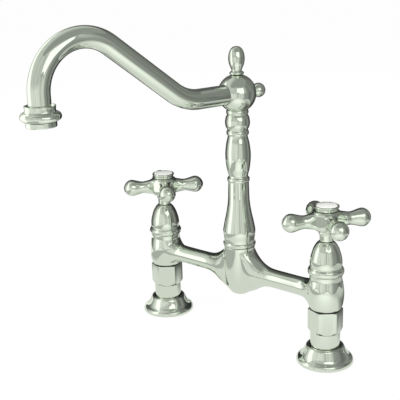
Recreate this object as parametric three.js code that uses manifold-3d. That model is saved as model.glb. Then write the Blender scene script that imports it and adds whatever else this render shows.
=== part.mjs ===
// A deck-mounted bridge kitchen faucet with two cross handles and a swivelling gooseneck spout.
// Millimetres, +Z up, the deck at z = 0. The bridge runs along X, the spout comes forward along -Y
// and the hot side is at -X. The origin is the plan centre of the whole faucet, on the deck.
import * as THREE from 'three';
import { mergeVertices } from 'three/addons/utils/BufferGeometryUtils.js';
import Module from 'manifold-3d';

const wasm = await Module();
wasm.setup();

// ---- driving sizes ------------------------------------------------------------------------------

const fitGap = 0.3; // between pieces that touch or slide on each other
const seamGap = 0.4; // at a seam that shows
const supplySpacing = 203.2; // centre to centre of the two supplies, 8 inches

// deck flange, its gasket, and the collar that clamps it
const flangeRadius = 27;
const flangeHeight = 16.8;
const flangeWall = 2.6;
const flangeRimHeight = 6.4;
const flangeConeFoot = 22.2;
const flangeConeTop = 18.8;
const gasketThickness = 2;
const collarRadius = 14.2;
const collarDepth = 6; // how far it reaches down into the flange
const collarRise = 14.3; // how far it stands out of it

// supply shank, union nut and washer
const shankRadius = 10.4;
const shankBore = 6.5;
const shankHeadRadius = 12.1;
const shankHeadHeight = 3;
const nutAcrossFlats = 29.2;
const nutHeight = 22.1;
const nutLip = 3.2;
const nutChamfer = 3.8;
const nutTurn = -19; // degrees, the corner nearest +X
const unionWasherThickness = 2;

// bridge casting
const bodyFootRadius = 15.2;
const bodyRadius = 17.1;
const bodyNeckRadius = 15;
const bodyHeight = 34.4;
const bodyNeckHeight = 5;
const chamberRadius = 10.6;
const chamberRise = 8.1; // the chamber's floor above the valve body's foot
const armRise = 15.1; // the arm's axis above the valve body's foot
const armRadius = 8.8;
const armBore = 4.5;
const hubFlareRadius = 23; // the arm's fillet into the centre body
const hubFlareLength = 23;
const sideFlareRadius = 12.6; // the arm's fillet into a valve body
const sideFlareLength = 10;
const hubRadius = 15.3;
const hubRise = 26.3; // above the arm's axis
const hubDrop = 25.5; // below it
const mixingRadius = 10.2;
const mixingDrop = 9;

// quarter-turn cartridge
const sealThickness = 1.7;
const sealBore = 6;
const discRadius = 7.6;
const discThickness = 2.5;
const portRadius = 2.6;
const portSpace = 6.1; // between the turning disc and the stem's shoulder
const cartridgeFlangeRadius = 12.8;
const cartridgeFlangeHeight = 3.4;
const cartridgeNeckRadius = 8.5;
const cartridgeNeckLength = 19.8;
const stemRadius = 4.2;
const stemShoulderRadius = 6.6;
const stemShoulderHeight = 2.7;
const stemRingRise = 8; // above the cartridge's flange
const stemRingSection = 0.7;

// bonnet
const bonnetRingRadius = 16.7;
const bonnetRingHeight = 6.4;
const bonnetRadius = 14.9;
const bonnetHeight = 31.4;
const bonnetWall = 1.9;

// cross handle, its screw and its index
const handleRise = 19.6; // the arms' axis above the handle's foot
const handleReach = 33.6; // valve axis to the middle of an arm's ball end
const handleBallRadius = 8.4;
const handleArmNeck = 6;
const handleHubRadius = 13.4;
const handleHubRise = 9.3; // above the arms' axis
const handleFacetReach = 12; // valve axis to the flat between two arms
const handleFacetRadius = 6.3;
const handleFacetRise = 3; // above the arms' axis
const handleSkirtRadius = 6.3;
const handleSkirtHeight = 7.2;
const screwHeadRadius = 5.8;
const screwHeadHeight = 2.6;
const screwSink = 5.3; // the screw's seat below the hub's top
const screwFloor = 2.7; // the metal between that seat and the stem's end
const screwRadius = 1.6;
const screwLength = 12.5;
const bezelRadius = 11.4;
const bezelHeight = 4.7;
const buttonRadius = 9.9;
const buttonThickness = 4;
const buttonCrown = 0.7;
const coldTurn = -38.1; // degrees from +X of one arm, as the handles stand shut
const hotTurn = -40.4;

// swivel column: the spigot in the bridge, then the turned part that shows
const spigotRadius = 9.4;
const spigotClearance = 1.5; // above the arms' waterways
const waterBore = 5;
const swivelRingSection = 1.2;
const lowerRingRise = 2.7; // above the spigot's foot
const upperRingRise = 6.5;
const snapRingRise = 9.4;
const snapRingThickness = 1.4;
const snapRingReach = 1.4;
const snapRingGap = 50; // degrees left open
const bushHeight = 8;
const bushWall = 2.7;
const columnFootRadius = 15.3;
const columnBellyRadius = 16.05;
const columnBellyLength = 61.1;
const columnWaistRadius = 10.3;
const columnBalusterRadius = 12.35;
const columnBalusterLength = 42.1;
const columnNeckRadius = 9.5;
const columnBulbRadius = 12;
const columnBulbLength = 15.9;
const ringHeight = 4.3;
const columnSpigotRadius = 7.5;
const columnSpigotHeight = 4.1;

// ball, finial and rear knob
const ballRadius = 18.4;
const ballFootDrop = 15; // the ball is cut flat this far below its middle
const finialSeatRadius = 5.4;
const finialRingRadius = 6.9;
const finialRingHeight = 2.9;
const finialNeckRadius = 4.95;
const finialNeckHeight = 1.2;
const finialEggRadius = 7.75;
const finialEggHeight = 22.3;
const finialStudRadius = 3;
const finialStudLength = 6.5;
const knobRadius = 7;
const knobReach = 26.5;
const knobNeckRadius = 4.2;
const knobStudRadius = 2.6;
const knobStudLength = 9.7; // from the ball's skin inwards

// spout
const spoutTurn = -12; // degrees, swung from straight ahead towards the hot side
const spoutReach = 205; // column axis to outlet axis
const spoutRadius = 9.5;
const spoutWall = 1.7;
const spoutStart = 5; // tube end inside the ball
const spoutStub = 45; // level run before the rise, from the column axis
const spoutRiseRadius = 48;
const spoutRiseAngle = 37;
const crookRadius = 42.5;
const spoutEndRise = 7.1; // the tube's end above the ball's middle

// aerator
const cupRadius = 13.1;
const cupHeight = 5.2;
const cupRecess = 2;
const cupLip = 1.2;
const beadRadius = 17.2;
const beadHeight = 7.6;
const tubeInsertion = 7.7; // tube inside the collar
const aeratorRadius = 12.9;
const aeratorHeight = 4.4;
const aeratorFlats = 23.6;
const aeratorThreadRadius = 10.7;
const aeratorThreadHeight = 2.6;
const aeratorBore = 8.8;
const aeratorLip = 1.2;
const screenThickness = 1.6;
const screenHoleRadius = 1.7;
const screenPitch = 5.2;
const aeratorWasherThickness = 1.3;

// how finely the round shapes are faceted, and the radius past which one counts as big
const bigFacets = 18;
const smallFacets = 12;
const bigRadius = 7;
const armFacets = 12;

// ---- worked out from the driving sizes ----------------------------------------------------------

const radians = THREE.MathUtils.degToRad;

const collarFoot = flangeHeight - collarDepth;
const collarTop = flangeHeight + collarRise;
const nutFoot = collarTop + fitGap;
const nutTop = nutFoot + nutHeight;
const shankHeadFoot = nutFoot + nutLip + fitGap;
const shankTop = shankHeadFoot + shankHeadHeight;
const unionWasherFoot = shankTop + fitGap;

const bodySpigotFoot = unionWasherFoot + unionWasherThickness + fitGap;
const bodySpigotRadius = shankHeadRadius + fitGap;
const nutBore = bodySpigotRadius + fitGap;
const bodyFoot = nutTop + seamGap;
const bodyTop = bodyFoot + bodyHeight;
const armHeight = bodyFoot + armRise;
const hubTop = armHeight + hubRise;
const hubBottom = armHeight - hubDrop;
const chamberFloor = bodyFoot + chamberRise;
const mixingFloor = armHeight - mixingDrop;

const cartridgeRadius = chamberRadius - fitGap;
const cartridgeFoot = chamberFloor + fitGap + sealThickness + fitGap;
const discBore = discRadius + fitGap;
const fixedDiscFoot = cartridgeFoot + fitGap;
const turningDiscFoot = fixedDiscFoot + discThickness + fitGap;
const stemFoot = turningDiscFoot + discThickness + fitGap;
const stemBore = stemRadius + fitGap;
const stemShoulderFoot = stemFoot + portSpace;
const stemShoulderTop = stemShoulderFoot + stemShoulderHeight;
const portHeight = (stemFoot + stemShoulderFoot) / 2;
const cartridgeFlangeFoot = bodyTop + fitGap;
const cartridgeFlangeTop = cartridgeFlangeFoot + cartridgeFlangeHeight;
const cartridgeTop = cartridgeFlangeTop + cartridgeNeckLength;
const stemRingHeight = cartridgeFlangeTop + stemRingRise;

const bonnetFoot = bodyTop + fitGap;
const bonnetRingTop = bonnetFoot + bonnetRingHeight;
const bonnetTop = bonnetFoot + bonnetHeight;
const handleFoot = bonnetTop + seamGap;
const handleHeight = handleFoot + handleRise;
const handleHubTop = handleHeight + handleHubRise;
const screwSeat = handleHubTop - screwSink;
const stemTop = screwSeat - screwFloor - fitGap;
const bezelFoot = handleHubTop + fitGap;
const buttonFoot = bezelFoot + fitGap;

const spigotFoot = armHeight + armBore + spigotClearance;
const snapRingFoot = spigotFoot + snapRingRise;
const snapRingTop = snapRingFoot + snapRingThickness;
const bushTop = hubTop - fitGap;
const bushFoot = bushTop - bushHeight;
const bushRadius = spigotRadius + fitGap + bushWall;
const columnFoot = hubTop + fitGap;
const waistRingFoot = columnFoot + ringHeight + columnBellyLength;
const neckRingFoot = waistRingFoot + ringHeight + columnBalusterLength;
const topRingFoot = neckRingFoot + ringHeight + columnBulbLength;
const columnTop = topRingFoot + ringHeight;
const columnSpigotTop = columnTop + columnSpigotHeight;

const ballFoot = columnTop + fitGap;
const ballHeight = ballFoot + ballFootDrop;
const finialSeat = ballHeight + Math.sqrt(ballRadius ** 2 - finialSeatRadius ** 2);
const finialFoot = finialSeat + fitGap;
const finialEggFoot = finialFoot + finialRingHeight + finialNeckHeight;
const knobStudFoot = ballRadius - knobStudLength;

const spoutEnd = ballHeight + spoutEndRise;
const tubeSocket = spoutRadius + fitGap;
const spoutInside = spoutRadius - spoutWall;
const cupTop = spoutEnd + tubeInsertion;
const beadTop = cupTop - cupHeight;
const beadFoot = beadTop - beadHeight;
const aeratorTop = beadFoot - fitGap;
const aeratorBottom = aeratorTop - aeratorHeight;
const aeratorThreadTop = beadFoot + aeratorThreadHeight;
const aeratorWasherFoot = aeratorThreadTop + fitGap;
const cupThreadTop = aeratorWasherFoot + aeratorWasherThickness + fitGap;

// ---- shape helpers ------------------------------------------------------------------------------

// A closed, outward-facing solid from any closed three.js geometry.
function solid(geometry) {
  geometry.deleteAttribute('normal');
  geometry.deleteAttribute('uv');
  const merged = mergeVertices(geometry, 1e-4);
  const position = merged.getAttribute('position').array;
  const index = merged.getIndex().array;
  const triangles = [];
  for (let i = 0; i < index.length; i += 3) {
    const [a, b, c] = [index[i], index[i + 1], index[i + 2]];
    if (a !== b && b !== c && c !== a) triangles.push(a, b, c);
  }
  if (signedVolume(position, triangles) < 0) triangles.reverse();
  return new wasm.Manifold(new wasm.Mesh({
    numProp: 3,
    vertProperties: new Float32Array(position),
    triVerts: new Uint32Array(triangles),
  }));
}

function signedVolume(position, triangles) {
  const triangle = [new THREE.Vector3(), new THREE.Vector3(), new THREE.Vector3()];
  let volume = 0;
  for (let i = 0; i < triangles.length; i += 3) {
    triangle.forEach((corner, k) => corner.fromArray(position, 3 * triangles[i + k]));
    volume += triangle[0].dot(triangle[1].cross(triangle[2])) / 6;
  }
  return volume;
}

// Round shapes of like size share their facets, so that a bore and what runs in it stay clear.
function facetsOf(outline) {
  const radius = Math.max(...outline.map((point) => point.x));
  return radius > bigRadius ? bigFacets : smallFacets;
}

// A turned piece: an outline of (radius, height) spun about Z.
function turned(outline, facets = facetsOf(outline)) {
  return solid(new THREE.LatheGeometry(outline, facets).rotateX(Math.PI / 2));
}

// The same piece lying along X or Y, with the outline's heights measured along that axis.
function turnedAlongX(outline, facets = facetsOf(outline)) {
  return solid(new THREE.LatheGeometry(outline, facets).rotateZ(-Math.PI / 2));
}

function turnedAlongY(outline, facets = facetsOf(outline)) {
  return solid(new THREE.LatheGeometry(outline, facets));
}

// Outlines are paths in (radius, height). Straight-sided ones come from a list of corners.
function corners(...points) {
  return points.map(([radius, height]) => new THREE.Vector2(radius, height));
}

function closed(points) {
  return [...points, points[0].clone()];
}

// A plain rod and a plain ring, both between two heights.
function rod(radius, foot, top) {
  return corners([0, foot], [radius, foot], [radius, top], [0, top]);
}

function ring(inner, outer, foot, top) {
  return closed(corners([inner, foot], [outer, foot], [outer, top], [inner, top]));
}

// A rounded bead drawn on from the path's present point.
function bead(path, radius, bulge, foot, top) {
  const shoulder = radius + 0.75 * (bulge - radius);
  path.lineTo(radius, foot);
  path.splineThru([
    new THREE.Vector2(shoulder, foot + 0.2 * (top - foot)),
    new THREE.Vector2(bulge, (foot + top) / 2),
    new THREE.Vector2(shoulder, top - 0.2 * (top - foot)),
    new THREE.Vector2(radius, top),
  ]);
  return path;
}

function roundRing(middle, section, height) {
  const outline = new THREE.Path().absarc(middle, height, section, 0, 2 * Math.PI).getPoints(3);
  return turned(outline);
}

const materials = {
  chrome: new THREE.MeshStandardMaterial({ color: 0xc9cfc8, roughness: 0.08, metalness: 1 }),
  brass: new THREE.MeshStandardMaterial({ color: 0xb79a55, roughness: 0.35, metalness: 1 }),
  ceramic: new THREE.MeshStandardMaterial({ color: 0xe8e6e0, roughness: 0.3, metalness: 0 }),
  enamel: new THREE.MeshStandardMaterial({ color: 0xf6f6f2, roughness: 0.2, metalness: 0 }),
  rubber: new THREE.MeshStandardMaterial({ color: 0x222222, roughness: 0.8, metalness: 0 }),
  acetal: new THREE.MeshStandardMaterial({ color: 0xdadada, roughness: 0.5, metalness: 0 }),
  steel: new THREE.MeshStandardMaterial({ color: 0xa9abad, roughness: 0.3, metalness: 1 }),
};

// A named mesh, added to the group that carries it.
function add(group, name, shape, material) {
  const { vertProperties, triVerts, numProp } = shape.getMesh();
  const position = new Float32Array((vertProperties.length / numProp) * 3);
  for (let i = 0; i < position.length / 3; i += 1) {
    position.set(vertProperties.subarray(i * numProp, i * numProp + 3), 3 * i);
  }
  const geometry = new THREE.BufferGeometry();
  geometry.setAttribute('position', new THREE.BufferAttribute(position, 3));
  geometry.setIndex(new THREE.BufferAttribute(new Uint32Array(triVerts), 1));
  geometry.computeVertexNormals();
  const mesh = new THREE.Mesh(geometry, material);
  mesh.name = name;
  group.add(mesh);
}

function moved(shape, x, y = 0, z = 0) {
  return shape.translate([x, y, z]);
}

// ---- bridge casting -----------------------------------------------------------------------------

// One valve body: the male spigot for the union, the swelling barrel and its plain neck.
function valveBarrel() {
  const swell = bodyRadius - bodyFootRadius;
  const outline = new THREE.Path();
  outline.moveTo(0, bodySpigotFoot);
  outline.lineTo(bodySpigotRadius, bodySpigotFoot);
  outline.lineTo(bodySpigotRadius, bodyFoot);
  outline.lineTo(bodyFootRadius, bodyFoot);
  outline.splineThru([
    new THREE.Vector2(bodyFootRadius + 0.6 * swell, bodyFoot + 0.15 * bodyHeight),
    new THREE.Vector2(bodyRadius, bodyFoot + 0.42 * bodyHeight),
    new THREE.Vector2(bodyNeckRadius + 0.4, bodyTop - 1.3 * bodyNeckHeight),
    new THREE.Vector2(bodyNeckRadius, bodyTop - bodyNeckHeight),
  ]);
  outline.lineTo(bodyNeckRadius, bodyTop);
  outline.lineTo(0, bodyTop);
  return turned(outline.getPoints(1));
}

// The centre body: a barrel that ends below in a drop-shaped belly.
function centreBarrel() {
  const outline = new THREE.Path();
  outline.moveTo(0, hubBottom);
  outline.splineThru([
    new THREE.Vector2(0.35 * hubRadius, hubBottom + 0.03 * hubDrop),
    new THREE.Vector2(0.65 * hubRadius, hubBottom + 0.15 * hubDrop),
    new THREE.Vector2(0.9 * hubRadius, hubBottom + 0.4 * hubDrop),
    new THREE.Vector2(hubRadius + 0.5, armHeight),
    new THREE.Vector2(hubRadius + 0.4, hubTop - 0.4 * hubRise),
    new THREE.Vector2(hubRadius, hubTop - 0.1 * hubRise),
  ]);
  outline.lineTo(hubRadius, hubTop);
  outline.lineTo(0, hubTop);
  return turned(outline.getPoints(1));
}

// One arm along +X, with its fillets into the centre body and into the valve body.
function bridgeArm() {
  const valve = supplySpacing / 2;
  const flareFoot = 0.87 * hubRadius;
  const flareEnd = hubRadius + hubFlareLength;
  const outline = new THREE.Path();
  outline.moveTo(0, 0);
  outline.lineTo(hubFlareRadius, 0);
  outline.lineTo(hubFlareRadius, flareFoot);
  outline.quadraticCurveTo(
    armRadius + 0.12 * (hubFlareRadius - armRadius), 0.5 * (flareFoot + flareEnd),
    armRadius, flareEnd,
  );
  outline.lineTo(armRadius, valve - bodyRadius - sideFlareLength);
  outline.quadraticCurveTo(
    armRadius, valve - bodyRadius - 1,
    sideFlareRadius, valve - bodyRadius + 3,
  );
  outline.lineTo(sideFlareRadius - 1, valve);
  outline.lineTo(0, valve);
  return turnedAlongX(outline.getPoints(4));
}

// The fillet is deeper than it is wide, so near the middle the arm is narrowed across the bridge.
function flattened(arm) {
  const narrowing = (0.93 * hubRadius) / hubFlareRadius;
  return arm.warp((vertex) => {
    const along = Math.abs(vertex[0]);
    const fade = THREE.MathUtils.smoothstep(along, 0.87 * hubRadius, hubRadius + hubFlareLength);
    vertex[1] *= narrowing + (1 - narrowing) * fade;
  });
}

function bridgeBody() {
  let body = centreBarrel();
  let bores = turned(rod(mixingRadius, mixingFloor, hubTop + 1));
  bores = bores.add(turned(rod(bushRadius + fitGap, bushFoot - fitGap, hubTop + 1)));
  bores = bores.add(turned(rod(
    spigotRadius + snapRingReach + 2 * fitGap,
    snapRingFoot - fitGap,
    snapRingTop + fitGap,
  )));
  for (const side of [-1, 1]) {
    const arm = moved(flattened(bridgeArm()).scale([side, 1, 1]), 0, 0, armHeight);
    body = body.add(arm).add(moved(valveBarrel(), (side * supplySpacing) / 2));
    const chamber = turned(rod(chamberRadius, chamberFloor, bodyTop + 1))
      .add(turned(rod(shankBore, bodySpigotFoot - 1, chamberFloor + 1)));
    const passage = turnedAlongX(rod(armBore, 0, supplySpacing / 2)).scale([side, 1, 1]);
    bores = bores.add(moved(chamber, (side * supplySpacing) / 2)).add(moved(passage, 0, 0, armHeight));
  }
  return body.subtract(bores);
}

// ---- one supply: flange, shank and union --------------------------------------------------------

function flange() {
  const opening = collarRadius + fitGap;
  const rimRadius = flangeRadius - 0.8;
  const outline = new THREE.Path();
  outline.moveTo(rimRadius, 0);
  outline.quadraticCurveTo(
    flangeRadius + 0.8, 0.35 * flangeRimHeight,
    rimRadius, 0.8 * flangeRimHeight,
  );
  outline.quadraticCurveTo(flangeConeFoot + 1, flangeRimHeight, flangeConeFoot, flangeRimHeight + 2.2);
  outline.lineTo(flangeConeTop, flangeHeight - 2);
  outline.quadraticCurveTo(flangeConeTop - 0.6, flangeHeight, opening + 1.6, flangeHeight);
  outline.lineTo(opening, flangeHeight - 0.4);
  outline.lineTo(opening, flangeHeight - flangeWall);
  outline.lineTo(flangeConeTop - flangeWall, flangeHeight - flangeWall - 1);
  outline.lineTo(flangeConeFoot - flangeWall, flangeRimHeight + 1.2);
  outline.lineTo(rimRadius - flangeWall, 0.5 * flangeRimHeight);
  outline.lineTo(rimRadius - flangeWall, 0);
  return turned(closed(outline.getPoints(2)));
}

function flangeGasket() {
  const outer = flangeRadius - 0.8 - flangeWall - fitGap;
  return turned(ring(shankRadius + fitGap, outer, 0, gasketThickness));
}

function shankCollar() {
  return turned(ring(shankRadius + fitGap, collarRadius, collarFoot, collarTop));
}

function supplyShank() {
  return turned(closed(corners(
    [shankBore, 0], [shankRadius, 0], [shankRadius, shankHeadFoot],
    [shankHeadRadius, shankHeadFoot], [shankHeadRadius, shankTop], [shankBore, shankTop],
  )));
}

// A hexagon nut, its bottom turned down to a cone and its top edge chamfered.
function unionNut() {
  const cornerRadius = nutAcrossFlats / 2 / Math.cos(Math.PI / 6);
  const hexagon = new THREE.CylinderGeometry(cornerRadius, cornerRadius, nutHeight, 6)
    .rotateX(Math.PI / 2)
    .rotateZ(Math.PI / 2 + radians(nutTurn))
    .translate(0, 0, nutFoot + nutHeight / 2);
  const envelope = turned(corners(
    [0, nutFoot], [collarRadius + fitGap, nutFoot], [cornerRadius + 0.2, nutFoot + nutChamfer],
    [cornerRadius + 0.2, nutTop - 0.9], [nutAcrossFlats / 2, nutTop], [0, nutTop],
  ));
  const bore = turned(rod(nutBore, nutFoot + nutLip, nutTop + 1))
    .add(turned(rod(shankRadius + fitGap, nutFoot - 1, nutTop)));
  return solid(hexagon).intersect(envelope).subtract(bore);
}

function unionWasher() {
  return turned(ring(
    shankBore + 0.5, shankHeadRadius, unionWasherFoot, unionWasherFoot + unionWasherThickness,
  ));
}

// ---- one valve cartridge and bonnet -------------------------------------------------------------

function seatSeal() {
  const foot = chamberFloor + fitGap;
  return turned(ring(sealBore, chamberRadius - fitGap, foot, foot + sealThickness));
}

// The brass barrel: disc pocket below, side ports, top flange and the long stem guide.
function cartridgeBody() {
  const barrel = turned(corners(
    [0, cartridgeFoot], [cartridgeRadius, cartridgeFoot],
    [cartridgeRadius, fixedDiscFoot + 2], [cartridgeRadius - 1.2, fixedDiscFoot + 3],
    [cartridgeRadius - 1.2, stemShoulderFoot - 1], [cartridgeRadius, stemShoulderFoot],
    [cartridgeRadius, cartridgeFlangeFoot], [cartridgeFlangeRadius, cartridgeFlangeFoot],
    [cartridgeFlangeRadius, cartridgeFlangeTop], [cartridgeNeckRadius, cartridgeFlangeTop + 1],
    [cartridgeNeckRadius, cartridgeTop], [0, cartridgeTop],
  ));
  const port = turnedAlongX(rod(portRadius, -2 * cartridgeRadius, 2 * cartridgeRadius));
  return barrel
    .subtract(turned(rod(discBore, cartridgeFoot - 1, stemShoulderTop + fitGap)))
    .subtract(turned(rod(stemBore, cartridgeFoot, cartridgeTop + 1)))
    .subtract(moved(port, 0, 0, portHeight));
}

// A ceramic disc with its two ports.
function ceramicDisc(foot) {
  const disc = turned(rod(discRadius, foot, foot + discThickness));
  const hole = turned(rod(0.25 * discRadius, foot - 1, foot + discThickness + 1));
  return disc.subtract(moved(hole, 0.6 * discRadius)).subtract(moved(hole, -0.6 * discRadius));
}

function valveStem() {
  const groove = stemRingSection + fitGap;
  const core = stemRadius - 2 * stemRingSection - fitGap;
  const stem = turned(corners(
    [0, stemFoot], [0.8 * stemRadius, stemFoot], [0.8 * stemRadius, stemShoulderFoot],
    [stemShoulderRadius, stemShoulderFoot], [stemShoulderRadius, stemShoulderTop],
    [stemRadius, stemShoulderTop], [stemRadius, stemRingHeight - groove],
    [core, stemRingHeight - groove], [core, stemRingHeight + groove],
    [stemRadius, stemRingHeight + groove], [stemRadius, stemTop - 0.6],
    [stemRadius - 0.6, stemTop], [0, stemTop],
  ));
  const screwHole = rod(screwRadius + fitGap, screwSeat - screwLength - 1, stemTop + 1);
  return stem.subtract(turned(screwHole));
}

function stemRing() {
  return roundRing(stemRadius - stemRingSection, stemRingSection, stemRingHeight);
}

function bonnet() {
  const shoulder = bonnetRingTop + 0.18 * bonnetHeight;
  const rise = bonnetTop - shoulder;
  const inside = bonnetRadius - bonnetWall;
  const outline = new THREE.Path();
  outline.moveTo(stemBore, bonnetTop);
  outline.lineTo(handleSkirtRadius + 0.6, bonnetTop);
  outline.splineThru([
    new THREE.Vector2(0.78 * bonnetRadius, bonnetTop - 0.31 * rise),
    new THREE.Vector2(0.91 * bonnetRadius, bonnetTop - 0.6 * rise),
    new THREE.Vector2(bonnetRadius, shoulder),
    new THREE.Vector2(bonnetRadius, bonnetRingTop + 0.4),
  ]);
  const ringFoot = bonnetRadius + 0.5;
  outline.lineTo(ringFoot, bonnetRingTop);
  outline.quadraticCurveTo(
    2 * bonnetRingRadius - ringFoot, (bonnetRingTop + bonnetFoot) / 2,
    ringFoot, bonnetFoot,
  );
  outline.lineTo(cartridgeFlangeRadius + fitGap, bonnetFoot);
  outline.lineTo(cartridgeFlangeRadius + fitGap, cartridgeFlangeTop + 1);
  outline.lineTo(inside, shoulder);
  outline.lineTo(0.68 * bonnetRadius, bonnetTop - 0.42 * rise);
  outline.lineTo(cartridgeNeckRadius + fitGap, cartridgeTop + fitGap);
  outline.lineTo(stemBore, cartridgeTop + bonnetWall);
  return turned(closed(outline.getPoints(1)));
}

// ---- one cross handle ---------------------------------------------------------------------------

function handleHub() {
  const skirtTop = handleFoot + handleSkirtHeight;
  const outline = new THREE.Path();
  outline.moveTo(0, handleFoot);
  outline.lineTo(handleSkirtRadius, handleFoot);
  bead(outline, handleSkirtRadius, handleSkirtRadius + 1, skirtTop, skirtTop + 2.2);
  outline.bezierCurveTo(
    handleSkirtRadius + 3.5, skirtTop + 3,
    handleHubRadius, handleHeight - 0.6 * handleHubRise,
    handleHubRadius, handleHeight + 0.1 * handleHubRise,
  );
  outline.quadraticCurveTo(
    handleHubRadius, handleHubTop - 0.2 * handleHubRise,
    0.84 * handleHubRadius, handleHubTop,
  );
  outline.lineTo(0, handleHubTop);
  return turned(outline.getPoints(2));
}

// An arm along +X: waisted near the hub and swelling to a round ball end.
function handleArm() {
  const onBall = (angle) => new THREE.Vector2(
    handleBallRadius * Math.cos(radians(angle)),
    handleReach + handleBallRadius * Math.sin(radians(angle)),
  );
  const outline = new THREE.Path();
  outline.moveTo(0, 0);
  outline.lineTo(handleBallRadius, 0.06 * handleReach);
  outline.splineThru([
    new THREE.Vector2(handleArmNeck + 1.3, 0.45 * handleReach),
    new THREE.Vector2(handleArmNeck + 0.1, 0.62 * handleReach),
    new THREE.Vector2(handleBallRadius - 1.1, handleReach - 0.45 * handleBallRadius),
    ...[0, 30, 60, 80, 90].map(onBall),
  ]);
  return turnedAlongX(outline.getPoints(1), armFacets);
}

function crossHandle() {
  let handle = handleHub();
  for (let quarter = 0; quarter < 4; quarter += 1) {
    handle = handle.add(moved(handleArm(), 0, 0, handleHeight).rotate([0, 0, 90 * quarter]));
  }
  const facet = rod(handleFacetRadius, handleFacetReach, handleReach);
  for (let quarter = 0; quarter < 4; quarter += 1) {
    handle = handle.subtract(
      moved(turnedAlongX(facet), 0, 0, handleHeight + handleFacetRise).rotate([0, 0, 90 * quarter + 45]),
    );
  }
  return handle
    .subtract(turned(rod(stemBore, handleFoot - 1, stemTop + fitGap)))
    .subtract(turned(rod(screwRadius + fitGap, handleFoot, handleHubTop)))
    .subtract(turned(rod(screwHeadRadius + fitGap, screwSeat, handleHubTop + 1)));
}

function handleScrew() {
  const headFoot = screwSeat + fitGap;
  const slot = new THREE.BoxGeometry(2.2 * screwHeadRadius, 1.2, 1.6)
    .translate(0, 0, headFoot + screwHeadHeight);
  return turned(corners(
    [0, screwSeat - screwLength], [screwRadius, screwSeat - screwLength], [screwRadius, headFoot],
    [screwHeadRadius, headFoot], [screwHeadRadius, headFoot + screwHeadHeight],
    [0, headFoot + screwHeadHeight],
  )).subtract(solid(slot));
}

function indexBezel() {
  const inner = buttonRadius + fitGap;
  const outline = new THREE.Path();
  outline.moveTo(inner, bezelFoot);
  outline.lineTo(bezelRadius - 1, bezelFoot);
  outline.lineTo(bezelRadius - 0.8, bezelFoot + 0.45 * bezelHeight);
  outline.lineTo(bezelRadius, bezelFoot + 0.6 * bezelHeight);
  outline.quadraticCurveTo(bezelRadius, bezelFoot + bezelHeight, inner, bezelFoot + bezelHeight);
  return turned(closed(outline.getPoints(2)));
}

// The enamel index button: a low crowned disc with a plug that presses into the hub.
function indexButton() {
  const plugFoot = screwSeat + fitGap + screwHeadHeight + fitGap;
  const buttonTop = buttonFoot + buttonThickness;
  const outline = new THREE.Path();
  outline.moveTo(0, plugFoot);
  outline.lineTo(screwHeadRadius, plugFoot);
  outline.lineTo(screwHeadRadius, buttonFoot);
  outline.lineTo(buttonRadius, buttonFoot);
  outline.lineTo(buttonRadius, buttonTop);
  outline.quadraticCurveTo(
    0.6 * buttonRadius, buttonTop + buttonCrown,
    0, buttonTop + buttonCrown,
  );
  return turned(outline.getPoints(2));
}

// ---- swivel column ------------------------------------------------------------------------------

// The turned column, from the spigot in the bridge to the spigot in the ball.
function column() {
  const grooveHalf = swivelRingSection + fitGap;
  const grooveFloor = spigotRadius - 2 * swivelRingSection + 0.2;
  const at = (radius, height) => new THREE.Vector2(radius, height);
  const outline = new THREE.Path();
  outline.moveTo(waterBore, spigotFoot);
  outline.lineTo(spigotRadius, spigotFoot);
  for (const height of [spigotFoot + lowerRingRise, spigotFoot + upperRingRise]) {
    outline.lineTo(spigotRadius, height - grooveHalf);
    outline.lineTo(grooveFloor, height - grooveHalf);
    outline.lineTo(grooveFloor, height + grooveHalf);
    outline.lineTo(spigotRadius, height + grooveHalf);
  }
  const snapFloor = spigotRadius - snapRingReach;
  outline.lineTo(spigotRadius, snapRingFoot - fitGap);
  outline.lineTo(snapFloor, snapRingFoot - fitGap);
  outline.lineTo(snapFloor, snapRingTop + fitGap);
  outline.lineTo(spigotRadius, snapRingTop + fitGap);
  outline.lineTo(spigotRadius, columnFoot);
  bead(outline, columnFootRadius, columnFootRadius + 1, columnFoot, columnFoot + ringHeight);
  const bellyFoot = columnFoot + ringHeight + 0.4;
  const bellyRise = waistRingFoot - bellyFoot;
  outline.lineTo(columnFootRadius - 0.2, bellyFoot);
  outline.splineThru([
    at(columnBellyRadius, bellyFoot + 0.16 * bellyRise),
    at(0.9 * columnBellyRadius, bellyFoot + 0.34 * bellyRise),
    at(columnWaistRadius + 1.5, bellyFoot + 0.54 * bellyRise),
    at(columnWaistRadius + 0.2, bellyFoot + 0.77 * bellyRise),
    at(columnWaistRadius, waistRingFoot - 0.4),
  ]);
  const waistRingTop = waistRingFoot + ringHeight;
  bead(outline, columnWaistRadius - 0.1, columnWaistRadius + 0.7, waistRingFoot, waistRingTop);
  const balusterFoot = waistRingTop + 0.4;
  const balusterRise = neckRingFoot - balusterFoot;
  outline.lineTo(columnNeckRadius, balusterFoot);
  outline.splineThru([
    at(0.9 * columnBalusterRadius, balusterFoot + 0.18 * balusterRise),
    at(columnBalusterRadius, balusterFoot + 0.53 * balusterRise),
    at(0.9 * columnBalusterRadius, balusterFoot + 0.83 * balusterRise),
    at(columnNeckRadius, neckRingFoot - 0.4),
  ]);
  const neckRingTop = neckRingFoot + ringHeight;
  bead(outline, columnNeckRadius + 0.2, columnNeckRadius + 1.3, neckRingFoot, neckRingTop);
  const bulbFoot = neckRingTop + 0.6;
  const bulbTop = topRingFoot - 0.6;
  bead(outline, columnNeckRadius + 0.3, columnBulbRadius, bulbFoot, bulbTop);
  bead(outline, columnNeckRadius + 0.4, columnNeckRadius + 1.2, topRingFoot, columnTop);
  outline.lineTo(columnSpigotRadius, columnTop);
  outline.lineTo(columnSpigotRadius, columnSpigotTop);
  outline.lineTo(waterBore, columnSpigotTop);
  return turned(closed(outline.getPoints(1)));
}

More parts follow.
